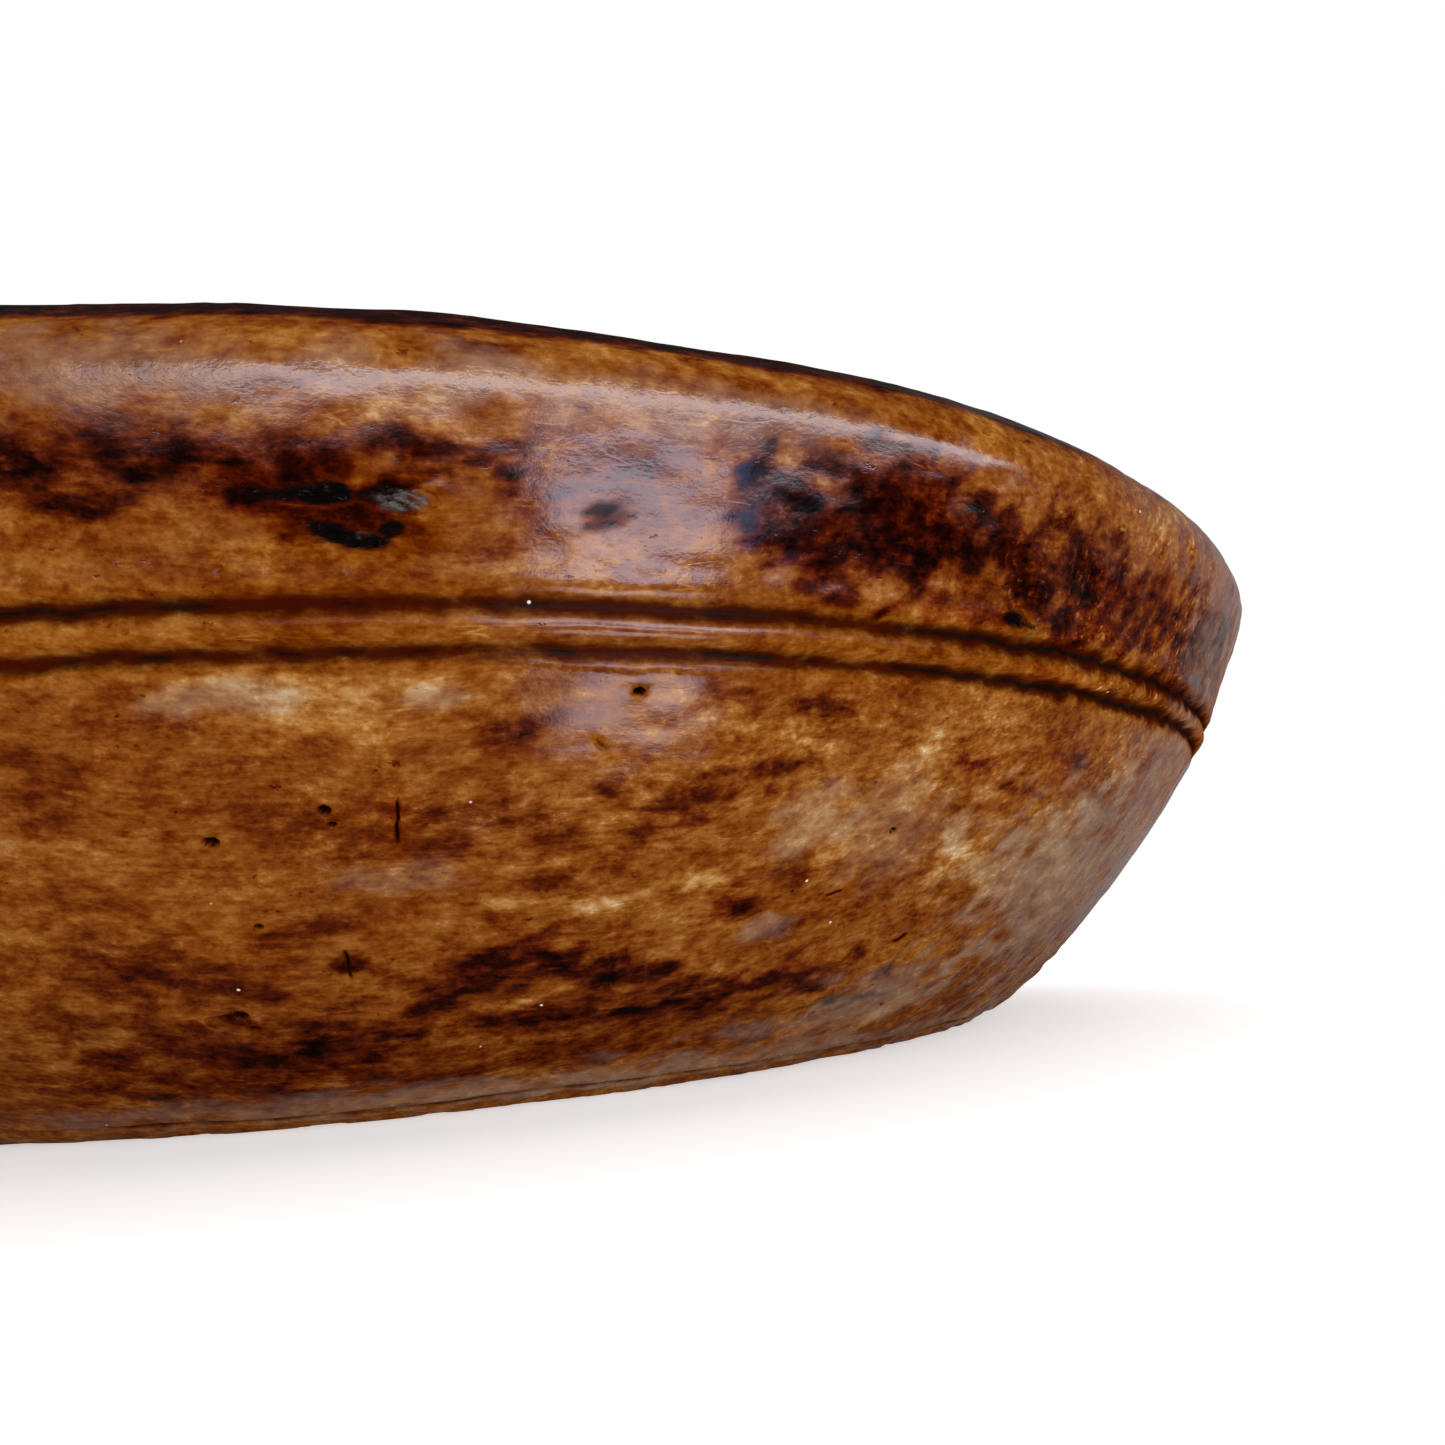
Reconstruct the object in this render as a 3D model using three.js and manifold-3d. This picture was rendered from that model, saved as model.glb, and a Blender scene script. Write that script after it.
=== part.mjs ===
// A large, shallow bowl turned from one block of hardwood. A pair of grooves with a bead between
// them runs round the wall, a finer groove sets off the foot, and two dead knots, each a plug of
// wood of its own, sit loose in the band below the rim.
// Millimetres, +Z up. The origin is the centre of the foot ring, where the bowl rests.
import * as THREE from 'three';
import { mergeVertices } from 'three/addons/utils/BufferGeometryUtils.js';
import Module from 'manifold-3d';

// ---- Driving dimensions ----------------------------------------------------------------------

const RADIAL_STEPS = 80;
const FIT_GAP = 0.3;

// Foot
const FOOT_RADIUS = 153.2;
const FOOT_RING_WIDTH = 12;
const FOOT_HOLLOW = 2.5;
const FOOT_HOLLOW_EDGE = 1.5;
const BELLY_START = { radius: 158.1, height: 2.7 };

// Belly: one curve from the foot groove up to the band
const BELLY_LOWER_PULL = { radius: 177.6, height: 11.4 };
const BELLY_UPPER_PULL = { radius: 209.7, height: 50.0 };
const BAND_START = { radius: 218.6, height: 65.4 };

// Band and rim
const BAND_LEAN = THREE.MathUtils.degToRad(26);
const WIDEST_RADIUS = 230;
const SHOULDER_RADIUS = 8;
const SHOULDER_TURN = THREE.MathUtils.degToRad(41);
const LIP_SLOPE = THREE.MathUtils.degToRad(45);
const LIP_WIDTH = 5.6;
const CREST_RADIUS = 6;

// Inside
const FLOOR_HEIGHT = 12;
const FLOOR_RADIUS = 95;
const INSIDE_UPPER_PULL = { radius: 208, height: 50 };
const INSIDE_LOWER_PULL = { radius: 172, height: FLOOR_HEIGHT };

// Turned grooves
const GROOVE_WIDTH = 2.6;
const GROOVE_DEPTH = 0.9;
const GROOVE_PITCH = 5.8;
const FOOT_GROOVE_WIDTH = 2.0;
const FOOT_GROOVE_DEPTH = 0.8;

// Knots. Azimuth is measured from -Y towards +X, height above the base.
const RIM_KNOT = { azimuth: -2.5, height: 73.2, halfWidth: 3.2, halfHeight: 1.7, depth: 6 };
const KNOT_BARK = { azimuth: -2.5, height: 73.2, halfWidth: 5.4, halfHeight: 3.8, depth: 6.5 };
const KNOT_FILLER = { azimuth: -0.4, height: 75.0, halfWidth: 2.4, halfHeight: 1.4, depth: 3 };
const PIN_KNOT = { azimuth: 22.4, height: 68.8, halfWidth: 2.8, halfHeight: 1.8, depth: 5 };
const PLUG_TAPER = 0.8;
const PLUG_STEPS = 20;
const PLUG_OVERHANG = 2;

// ---- Solids: closed geometry made ready for cutting, and back ----------------------------------

const wasm = await Module();
wasm.setup();

// Turns a closed geometry into a solid, leaving out the triangles that collapse onto the axis.
function solidFrom(geometry) {
  const bare = geometry.clone();
  bare.deleteAttribute('normal');
  bare.deleteAttribute('uv');
  const merged = mergeVertices(bare, 1e-4);
  const index = merged.index.array;
  const triangles = [];
  for (let i = 0; i < index.length; i += 3) {
    const [a, b, c] = [index[i], index[i + 1], index[i + 2]];
    if (a !== b && b !== c && c !== a) {
      triangles.push(a, b, c);
    }
  }
  return new wasm.Manifold(new wasm.Mesh({
    numProp: 3,
    vertProperties: new Float32Array(merged.attributes.position.array),
    triVerts: new Uint32Array(triangles),
  }));
}

function geometryFrom(solid) {
  const mesh = solid.getMesh();
  const positions = new Float32Array(mesh.vertProperties);
  const geometry = new THREE.BufferGeometry();
  geometry.setAttribute('position', new THREE.BufferAttribute(positions, 3));
  geometry.setIndex(new THREE.BufferAttribute(new Uint32Array(mesh.triVerts), 1));
  geometry.computeVertexNormals();
  return geometry;
}

// ---- Bowl --------------------------------------------------------------------------------------

// The outside as one path: foot ring, belly, band, shoulder, sloping lip and rounded crest.
function outsidePath() {
  const path = new THREE.Path();
  path.moveTo(FOOT_RADIUS, 0);
  path.lineTo(BELLY_START.radius, BELLY_START.height);
  path.bezierCurveTo(
    BELLY_LOWER_PULL.radius, BELLY_LOWER_PULL.height,
    BELLY_UPPER_PULL.radius, BELLY_UPPER_PULL.height,
    BAND_START.radius, BAND_START.height,
  );

  const shoulderCentre = WIDEST_RADIUS - SHOULDER_RADIUS;
  const bandTop = shoulderCentre + SHOULDER_RADIUS * Math.cos(BAND_LEAN);
  const bandTopHeight = BAND_START.height + (bandTop - BAND_START.radius) / Math.tan(BAND_LEAN);
  const widestHeight = bandTopHeight + SHOULDER_RADIUS * Math.sin(BAND_LEAN);
  path.lineTo(bandTop, bandTopHeight);
  path.absarc(shoulderCentre, widestHeight, SHOULDER_RADIUS, -BAND_LEAN, SHOULDER_TURN, false);

  const lipTop = {
    radius: path.currentPoint.x - LIP_WIDTH * Math.cos(LIP_SLOPE),
    height: path.currentPoint.y + LIP_WIDTH * Math.sin(LIP_SLOPE),
  };
  path.lineTo(lipTop.radius, lipTop.height);
  const crestCentre = {
    radius: lipTop.radius - CREST_RADIUS * Math.sin(LIP_SLOPE),
    height: lipTop.height - CREST_RADIUS * Math.cos(LIP_SLOPE),
  };
  const crestStart = Math.PI / 2 - LIP_SLOPE;
  path.absarc(crestCentre.radius, crestCentre.height, CREST_RADIUS, crestStart, Math.PI, false);
  return path;
}

// Evenly spaced places along one stretch of the path, without its end, which the next one holds.
function evenStops(from, to, count) {
  return Array.from({ length: count }, (_, i) => from + ((to - from) * i) / count);
}

// Depth of a V groove at a distance from its middle, none from its edges outwards.
function grooveDepth(distance, width, depth) {
  return depth * Math.max(1 - Math.abs(distance) / (width / 2), 0);
}

// Outside outline from the foot edge to the inner side of the crest, with the grooves cut in.
function outsideOutline() {
  const path = outsidePath();
  const lengths = path.getCurveLengths();
  const whole = path.getLength();
  const [footRun, bellyEnd, bandEnd, shoulderEnd, lipEnd] = lengths;
  const grooves = [
    { middle: footRun, width: FOOT_GROOVE_WIDTH, depth: FOOT_GROOVE_DEPTH },
    { middle: bellyEnd - GROOVE_PITCH, width: GROOVE_WIDTH, depth: GROOVE_DEPTH },
    { middle: bellyEnd, width: GROOVE_WIDTH, depth: GROOVE_DEPTH },
  ];
  const stops = [0];
  grooves.forEach(({ middle, width }) => {
    stops.push(middle - width / 2, middle, middle + width / 2);
  });
  stops.push(...evenStops(footRun + 4, bellyEnd - GROOVE_PITCH - 4, 8));
  stops.push(...evenStops(bellyEnd + 8, bandEnd, 1));
  stops.push(...evenStops(bandEnd, shoulderEnd, 4));
  stops.push(...evenStops(shoulderEnd, lipEnd, 1));
  stops.push(...evenStops(lipEnd, whole, 5), whole);
  stops.sort((a, b) => a - b);

  return stops.map((stop) => {
    const point = path.getPointAt(stop / whole);
    const along = path.getTangentAt(stop / whole);
    const cut = grooves.reduce(
      (sum, groove) => sum + grooveDepth(stop - groove.middle, groove.width, groove.depth), 0,
    );
    return new THREE.Vector2(point.x - along.y * cut, point.y + along.x * cut);
  });
}

// Inside outline from the crest down the wall to the edge of the floor.
function insideOutline(crestEnd) {
  const wall = new THREE.CubicBezierCurve(
    crestEnd,
    new THREE.Vector2(INSIDE_UPPER_PULL.radius, INSIDE_UPPER_PULL.height),
    new THREE.Vector2(INSIDE_LOWER_PULL.radius, INSIDE_LOWER_PULL.height),
    new THREE.Vector2(FLOOR_RADIUS, FLOOR_HEIGHT),
  );
  return wall.getSpacedPoints(10).slice(1);
}

function bowlGeometry() {
  const outside = outsideOutline();
  const ringInside = FOOT_RADIUS - FOOT_RING_WIDTH;
  const outline = [
    new THREE.Vector2(0, FOOT_HOLLOW),
    new THREE.Vector2(ringInside - FOOT_HOLLOW_EDGE, FOOT_HOLLOW),
    new THREE.Vector2(ringInside, 0),
    ...outside,
    ...insideOutline(outside[outside.length - 1]),
    new THREE.Vector2(0, FLOOR_HEIGHT),
  ];
  const geometry = new THREE.LatheGeometry(outline, RADIAL_STEPS);
  geometry.rotateX(Math.PI / 2);
  return geometry;
}

// ---- Knots -------------------------------------------------------------------------------------

// Frame of a point on the band: X along the bowl's girth, Y straight out of the wall.
function bandFrame({ azimuth, height }) {
  const turn = THREE.MathUtils.degToRad(azimuth);
  const radius = BAND_START.radius + (height - BAND_START.height) * Math.tan(BAND_LEAN);
  const outwards = new THREE.Vector3(
    Math.sin(turn) * Math.cos(BAND_LEAN),
    -Math.cos(turn) * Math.cos(BAND_LEAN),
    -Math.sin(BAND_LEAN),
  );
  const girth = new THREE.Vector3(Math.cos(turn), Math.sin(turn), 0);
  const matrix = new THREE.Matrix4();
  matrix.makeBasis(girth, outwards, new THREE.Vector3().crossVectors(girth, outwards));
  matrix.setPosition(radius * Math.sin(turn), -radius * Math.cos(turn), height);
  return matrix;
}

// An oval plug that tapers into the wall. Grow widens and deepens it to cut its pocket.
function plugGeometry(knot, grow = 0) {
  const tall = knot.depth + grow + PLUG_OVERHANG;
  const geometry = new THREE.CylinderGeometry(1, PLUG_TAPER, tall, PLUG_STEPS);
  geometry.translate(0, PLUG_OVERHANG - tall / 2, 0);
  geometry.scale(knot.halfWidth + grow, 1, knot.halfHeight + grow);
  geometry.applyMatrix4(bandFrame(knot));
  return geometry;
}

const bowlBlank = solidFrom(bowlGeometry());
const knotPlug = (knot) => solidFrom(plugGeometry(knot)).intersect(bowlBlank);
const knotPocket = (knot) => solidFrom(plugGeometry(knot, FIT_GAP));

const bowlBody = [KNOT_BARK, KNOT_FILLER, PIN_KNOT].reduce(
  (solid, knot) => solid.subtract(knotPocket(knot)), bowlBlank,
);
const barkRing = knotPlug(KNOT_BARK).subtract(knotPocket({ ...RIM_KNOT, depth: KNOT_BARK.depth + 1 }));

// ---- Assembly ----------------------------------------------------------------------------------

function finish(color, roughness) {
  return new THREE.MeshStandardMaterial({ color, roughness, metalness: 0 });
}

const group = new THREE.Group();
function addPiece(name, solid, material) {
  const mesh = new THREE.Mesh(geometryFrom(solid), material);
  mesh.name = name;
  group.add(mesh);
}

addPiece('bowl_body', bowlBody, finish(0x8a5320, 0.35));
addPiece('rim_knot', knotPlug(RIM_KNOT), finish(0x6b3314, 0.5));
addPiece('knot_bark', barkRing, finish(0x0d0806, 0.6));
addPiece('knot_filler', knotPlug(KNOT_FILLER), finish(0x3a3c40, 0.25));
addPiece('pin_knot', knotPlug(PIN_KNOT), finish(0x120a07, 0.5));

export default group;
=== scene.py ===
"""A large turned wooden feed bowl: its worn and waxed wood, its dead knots, and the studio round it.

The bowl is one surface of revolution, worked out with numpy from its turned section, with the
grooves, the beetle holes, the drying checks and the wear pressed into it along its normal. The dead
knots, their bark and their pitch are separate pieces that lie in pockets of that same surface.
"""

import logging
import math
from collections.abc import Callable
from dataclasses import dataclass
from enum import Enum

import bmesh
import bpy
import numpy as np
from mathutils import Matrix


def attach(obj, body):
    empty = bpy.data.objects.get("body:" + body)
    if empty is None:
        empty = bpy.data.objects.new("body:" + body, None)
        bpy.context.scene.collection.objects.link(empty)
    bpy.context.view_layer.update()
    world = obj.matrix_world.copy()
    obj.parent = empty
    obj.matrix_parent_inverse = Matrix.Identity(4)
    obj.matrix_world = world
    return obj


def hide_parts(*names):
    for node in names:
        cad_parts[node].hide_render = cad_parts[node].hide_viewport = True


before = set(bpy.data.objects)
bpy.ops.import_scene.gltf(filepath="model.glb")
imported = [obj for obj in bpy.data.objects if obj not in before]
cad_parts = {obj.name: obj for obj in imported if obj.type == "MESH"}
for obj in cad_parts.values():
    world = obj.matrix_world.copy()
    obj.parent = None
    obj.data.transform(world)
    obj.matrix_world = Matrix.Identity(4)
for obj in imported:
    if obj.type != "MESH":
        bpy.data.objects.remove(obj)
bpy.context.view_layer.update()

MM = 0.001
Colour = tuple[float, float, float]


# ---------------------------------------------------------------- arithmetic on arrays


def ease(values: np.ndarray, low: float, high: float) -> np.ndarray:
    """Smooth step: 0 below low, 1 above high, with level ends.

    Args:
        values: The numbers to be eased.
        low: Where the step starts.
        high: Where the step ends; it may lie below low, which turns the step round.

    Returns:
        The eased numbers, from 0 to 1.
    """
    part = np.clip((values - low) / (high - low), 0.0, 1.0)
    return part * part * (3.0 - 2.0 * part)


def bell(values: np.ndarray, width: float) -> np.ndarray:
    """Gaussian bell: exp of minus the square of values over width."""
    return np.exp(-np.square(values / width))


class Ripple:
    """Smooth seeded noise, mostly between -1 and 1: a sum of sine waves in random directions."""

    def __init__(self, seed: int, size: float, stretch: tuple = (1, 1, 1), waves: int = 24) -> None:
        """Draws the waves.

        Args:
            seed: Start of the random draws.
            size: Middle wavelength, in mm.
            stretch: How many times longer the waves are along X, Y and Z.
            waves: How many waves are summed.
        """
        draw = np.random.default_rng(seed)
        heading = draw.normal(size=(waves, 3))
        heading /= np.linalg.norm(heading, axis=1, keepdims=True)
        pitch = draw.uniform(0.55, 1.7, (waves, 1)) / size
        self.turns = math.tau * heading * pitch / np.array(stretch, float)
        self.phases = draw.uniform(0, math.tau, waves)
        self.gain = 0.75 * math.sqrt(2 / waves)

    def at(self, points: np.ndarray) -> np.ndarray:
        """The noise at each of the points, in mm."""
        return self.gain * np.sin(points @ self.turns.T + self.phases).sum(axis=1)


# ---------------------------------------------------------------- the turned section


@dataclass(frozen=True)
class Section:
    """The bowl's turned section, in mm, from the axis underneath, round the outside, to the floor.

    Arc is the length along that line, counted from the outer edge of the foot: it is negative on
    the underside and grows up the outside, over the rim and down the inside.
    """

    foot_radius: float = 153.2
    ring_width: float = 12.0
    hollow: float = 2.5
    hollow_edge: float = 1.5
    foot_groove: tuple = (158.1, 2.7)
    belly_pulls: tuple = ((177.6, 11.4), (209.7, 50.0))
    groove: tuple = (218.6, 65.4)
    band_lean: float = math.radians(26)
    widest: float = 230.0
    shoulder_radius: float = 8.0
    shoulder_end: float = math.radians(41)
    lip_slope: float = math.radians(45)
    lip_width: float = 5.6
    crest_radius: float = 6.0
    inside_pulls: tuple = ((208.0, 50.0), (172.0, 12.0))
    floor: tuple = (95.0, 12.0)
    corner: float = 0.5
    step: float = 0.2

    @staticmethod
    def _bezier(start: tuple, pulls: tuple, end: tuple) -> np.ndarray:
        """Cubic curve: the four points weighted by (1-t)^3, 3t(1-t)^2, 3t^2(1-t) and t^3.

        Args:
            start: First point.
            pulls: The two points that pull the curve.
            end: Last point.

        Returns:
            Points along the curve.
        """
        part = np.linspace(0, 1, 240)[:, None]
        first, second, third, last = (np.array(p, float) for p in (start, *pulls, end))
        rest = 1 - part
        near = rest**3 * first + 3 * rest**2 * part * second
        return near + 3 * rest * part**2 * third + part**3 * last

    @staticmethod
    def _arc(centre: tuple, radius: float, start: float, end: float) -> np.ndarray:
        """Round stretch: the centre plus radius times (cos, sin) of an angle from start to end."""
        angle = np.linspace(start, end, 60)
        return np.array(centre) + radius * np.stack([np.cos(angle), np.sin(angle)], axis=1)

    def line(self) -> tuple[np.ndarray, np.ndarray]:
        """The section as closely spaced points.

        Returns:
            The arc of each point, and its radius and height as an array of two columns.
        """
        inner = self.foot_radius - self.ring_width
        centre = self.widest - self.shoulder_radius
        rise = centre + self.shoulder_radius * math.cos(self.band_lean) - self.groove[0]
        middle = self.groove[1] + rise / math.tan(self.band_lean)
        middle += self.shoulder_radius * math.sin(self.band_lean)
        shoulder = self._arc((centre, middle), self.shoulder_radius, -self.band_lean, self.shoulder_end)
        lip_end = shoulder[-1] + self.lip_width * np.array([-math.cos(self.lip_slope),
                                                            math.sin(self.lip_slope)])
        crest_centre = lip_end - self.crest_radius * np.array([math.sin(self.lip_slope),
                                                               math.cos(self.lip_slope)])
        crest = self._arc(tuple(crest_centre), self.crest_radius, self.lip_slope, math.pi)
        under = np.array([(0, self.hollow), (inner - self.hollow_edge, self.hollow), (inner, 0)])
        foot = np.array([(self.foot_radius, 0.0)])
        belly = self._bezier(self.foot_groove, self.belly_pulls, self.groove)
        inside = self._bezier(tuple(crest[-1]), self.inside_pulls, self.floor)
        floor = np.array([(0.0, self.floor[1])])
        rough = np.concatenate([under, foot, belly, shoulder, crest, inside, floor])
        rough_arc = self._lengths(rough)
        count = int(rough_arc[-1] / self.step)
        even = np.linspace(0, rough_arc[-1], count)
        fine = np.stack([np.interp(even, rough_arc, rough[:, k]) for k in (0, 1)], axis=1)
        fine = self._eased_corners(fine)
        arc = self._lengths(fine)
        foot_arc = np.interp(rough_arc[len(under)], even, arc)
        return arc - foot_arc, fine

    def _eased_corners(self, points: np.ndarray) -> np.ndarray:
        """Rounds the corners: each point becomes the bell-weighted mean of those near it.

        Args:
            points: Evenly spaced points of the section.

        Returns:
            The same points, with the corners rounded.
        """
        reach = int(4 * self.corner / self.step)
        weight = bell(np.arange(-reach, reach + 1) * self.step, self.corner * math.sqrt(2))
        weight /= weight.sum()
        padded = np.pad(points, ((reach, reach), (0, 0)), mode="edge")
        eased = np.stack([np.convolve(padded[:, k], weight, mode="valid") for k in (0, 1)], axis=1)
        eased[0, 0] = eased[-1, 0] = 0.0
        return eased

    @staticmethod
    def _lengths(points: np.ndarray) -> np.ndarray:
        """Length along a line of points, from its first point to each of them."""
        steps = np.linalg.norm(np.diff(points, axis=0), axis=1)
        return np.concatenate([[0.0], np.cumsum(steps)])


@dataclass(frozen=True)
class Mark:
    """A spot on the outside wall: where it is, how large it is, and how strong.

    Azimuth is in degrees from the front, -Y, towards +X; height and sizes are in mm. A mark's
    half width runs along the wall's girth and its half height up the section, before its tilt.
    """

    azimuth: float
    height: float
    across: float
    up: float
    strength: float = 1.0
    tilt: float = 0.0


def marks(*rows: tuple) -> tuple[Mark, ...]:
    """Marks from rows of azimuth, height, half width, half height, strength and tilt."""
    return tuple(Mark(*row) for row in rows)


class Wall:
    """The bowl's whole surface as a function of arc and turn, with everything cut or worn in it."""

    pin_knot = Mark(22.4, 68.8, 2.8, 1.8)
    knot = Mark(-2.8, 73.9, 5.6, 3.8)
    pitch = Mark(-0.95, 75.8, 2.6, 1.5)
    groove_pitch = 5.8
    groove_depth = 0.95
    groove_widths = (1.25, 1.1)
    bead_height = 0.42
    foot_groove_depth = 0.85
    knot_pocket, pitch_pocket, pin_pocket = 6.9, 3.2, 5.2
    hole_depth = 1.7
    out_of_round = 0.0012
    beetle_holes = marks(
        (-8.4, 40.7, 0.95, 0.7), (-4.4, 43.6, 0.75, 0.7), (-4.2, 42, 0.5, 0.4), (-9.3, 18.9, 0.95, 0.8),
        (-8.9, 16.9, 0.8, 0.6), (-7.5, 30.4, 0.5, 0.4), (20.7, 10.7, 0.7, 0.6), (24.1, 14.7, 0.6, 0.6),
        (26.7, 10.5, 0.6, 0.5), (19.7, 39.2, 0.6, 0.6), (6.4, 56.2, 0.75, 0.55), (30.5, 17.5, 0.5, 0.5),
        (-26, 34, 0.8, 0.7), (64, 47, 0.8, 0.8), (67, 43, 0.6, 0.6), (118, 52, 0.8, 0.7),
        (151, 31, 0.8, 0.8), (154, 34.5, 0.6, 0.6), (-142, 45, 0.8, 0.7), (-95, 38, 0.8, 0.8),
        (-92, 41, 0.6, 0.6))
    checks = marks(
        (-1.95, 41.8, 0.22, 5, 0.9, -3), (-4.4, 24.6, 0.3, 4.2, 0.8, 2), (-2.6, 25.6, 5, 0.22, 0.35, 4),
        (-2.9, 69, 0.2, 0.9, 0.25), (-5.15, 69.3, 0.35, 0.9, 0.3, 20), (-6.5, 69.6, 0.4, 1.3, 0.3, 12),
        (17.8, 30.2, 2.4, 0.3, 0.7, 14), (13.6, 27.6, 5.5, 0.28, 0.5, 24),
        (31.9, 26.2, 2.2, 0.3, 0.7, 10), (24.2, 22.4, 2.6, 0.5, 0.7, 30),
        (5.2, 50.2, 1.5, 0.25, 0.5, -50), (84, 50, 9, 0.25, 0.6, 3), (176, 40, 0.25, 7, 0.7, 2),
        (-70, 60, 0.25, 6, 0.7, -4), (-118, 30, 8, 0.25, 0.6, 5))

    def __init__(self, section: Section) -> None:
        """Works out the section and draws the noises that wear and warp the wall.

        Args:
            section: The turned section.
        """
        self.section = section
        self.arcs, self.line = section.line()
        slope = np.gradient(self.line, self.arcs, axis=0)
        slope /= np.linalg.norm(slope, axis=1, keepdims=True)
        self.normals = np.stack([slope[:, 1], -slope[:, 0]], axis=1)
        self.crest_arc = float(self.arcs[self.line[:, 1].argmax()])
        self.end_arc = float(self.arcs[-1])
        self.start_arc = float(self.arcs[0])
        self.groove_arc = self.arc_at(section.groove[1])
        self.foot_groove_arc = self.arc_at(section.foot_groove[1])
        self.warp = Ripple(11, 150, waves=12)
        self.dents = Ripple(12, 21, (1.6, 1, 1))
        self.rough = Ripple(13, 6.5, (1.8, 1, 1))
        self.fine = Ripple(14, 2.6, (1.6, 1, 1), 30)
        self.ragged = Ripple(15, 8.0)
        self.slow = Ripple(16, 34)
        self.edge = Ripple(17, 15, (1, 1, 2))
        self.chips = Ripple(18, 8)

    def arc_at(self, height: float) -> float:
        """Arc of the outside wall at a height, in mm."""
        outside = (self.arcs >= 0) & (self.arcs <= self.crest_arc)
        return float(np.interp(height, self.line[outside, 1], self.arcs[outside]))

    def radius_at(self, arc: float) -> float:
        """Radius of the section at an arc, in mm."""
        return float(np.interp(arc, self.arcs, self.line[:, 0]))

    def local(self, arc: np.ndarray, turn: np.ndarray, mark: Mark) -> tuple[np.ndarray, np.ndarray]:
        """Places on the wall as mm across and up from a mark, turned by its tilt.

        Args:
            arc: Arc of each place.
            turn: Azimuth of each place, in degrees.
            mark: The mark that is the middle.

        Returns:
            How far across and how far up each place lies.
        """
        middle = self.arc_at(mark.height)
        away = (turn - mark.azimuth + 180) % 360 - 180
        across = np.radians(away) * self.radius_at(middle)
        up = arc - middle
        tilt = math.radians(mark.tilt)
        return (across * math.cos(tilt) + up * math.sin(tilt),
                up * math.cos(tilt) - across * math.sin(tilt))

    def lifted(self, arc: np.ndarray, turn: np.ndarray, lift: np.ndarray) -> np.ndarray:
        """Points of the turned surface, moved out along its normal by lift.

        The point at arc s and azimuth a is (r sin a, -r cos a, z), with r and z from the section;
        the radius also swells by a few tenths of a mm, because an old bowl isn't round any more.

        Args:
            arc: Arc of each place, in mm.
            turn: Azimuth of each place, in degrees.
            lift: Height of each place over the surface, in mm.

        Returns:
            One point for each arc, in mm.
        """
        radius = np.interp(arc, self.arcs, self.line[:, 0])
        height = np.interp(arc, self.arcs, self.line[:, 1])
        out = np.interp(arc, self.arcs, self.normals[:, 0])
        rise = np.interp(arc, self.arcs, self.normals[:, 1])
        angle = np.radians(turn)
        oval = 1 - self.out_of_round * (1 + np.cos(2 * angle - 0.9))
        girth = radius * oval + out * lift
        return np.stack([girth * np.sin(angle), -girth * np.cos(angle),
                         np.maximum(height + rise * lift, 0.0)], axis=1)

    def knot_outline(self, angle: np.ndarray) -> np.ndarray:
        """Outer edge of the knot's bark: an oval with two slow lobes, as mm across and up.

        Args:
            angle: Directions from the middle, in radians.

        Returns:
            Points of the edge as mm across and up, one for each angle.
        """
        swell = 1 + 0.09 * np.cos(2 * angle + 0.6) + 0.08 * np.cos(3 * angle - 1.1)
        swell += 0.04 * np.cos(7 * angle + 2) + 0.02 * np.cos(13 * angle)
        return self._oval(self.knot, swell, angle)

    def pitch_outline(self, angle: np.ndarray) -> np.ndarray:
        """Edge of the hard pitch: an oval pulled out at its upper right, as mm across and up.

        Args:
            angle: Directions from the middle, in radians.

        Returns:
            Points of the edge as mm across and up, one for each angle.
        """
        swell = 1 + 0.12 * np.cos(2 * angle - 0.9) + 0.07 * np.cos(5 * angle)
        swell += 0.04 * np.cos(9 * angle + 1)
        return self._oval(self.pitch, swell, angle)

    def pin_outline(self, angle: np.ndarray) -> np.ndarray:
        """Edge of the small knot: a lumpy oval, as mm across and up.

        Args:
            angle: Directions from the middle, in radians.

        Returns:
            Points of the edge as mm across and up, one for each angle.
        """
        swell = 1 + 0.1 * np.cos(3 * angle + 0.4) + 0.06 * np.cos(5 * angle + 1)
        return self._oval(self.pin_knot, swell, angle)

    @staticmethod
    def _oval(mark: Mark, swell: np.ndarray, angle: np.ndarray) -> np.ndarray:
        """Oval of a mark's half sizes, times a swell that depends on the angle."""
        return np.stack([mark.across * swell * np.cos(angle), mark.up * swell * np.sin(angle)], axis=1)

    def _inside(self, arc: np.ndarray, turn: np.ndarray, mark: Mark,
                outline: Callable[[np.ndarray], np.ndarray]) -> np.ndarray:
        """Distance from a mark's middle as a share of its outline in that direction.

        Args:
            arc: Arc of each place, in mm.
            turn: Azimuth of each place, in degrees.
            mark: The mark that is the middle.
            outline: Its edge as a function of the angle.

        Returns:
            0 in the middle, 1 at the edge and more outside it.
        """
        across, up = self.local(arc, turn, mark)
        angle = np.arctan2(up / mark.up, across / mark.across)
        edge = outline(angle)
        return np.hypot(across, up) / np.hypot(edge[:, 0], edge[:, 1])

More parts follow.
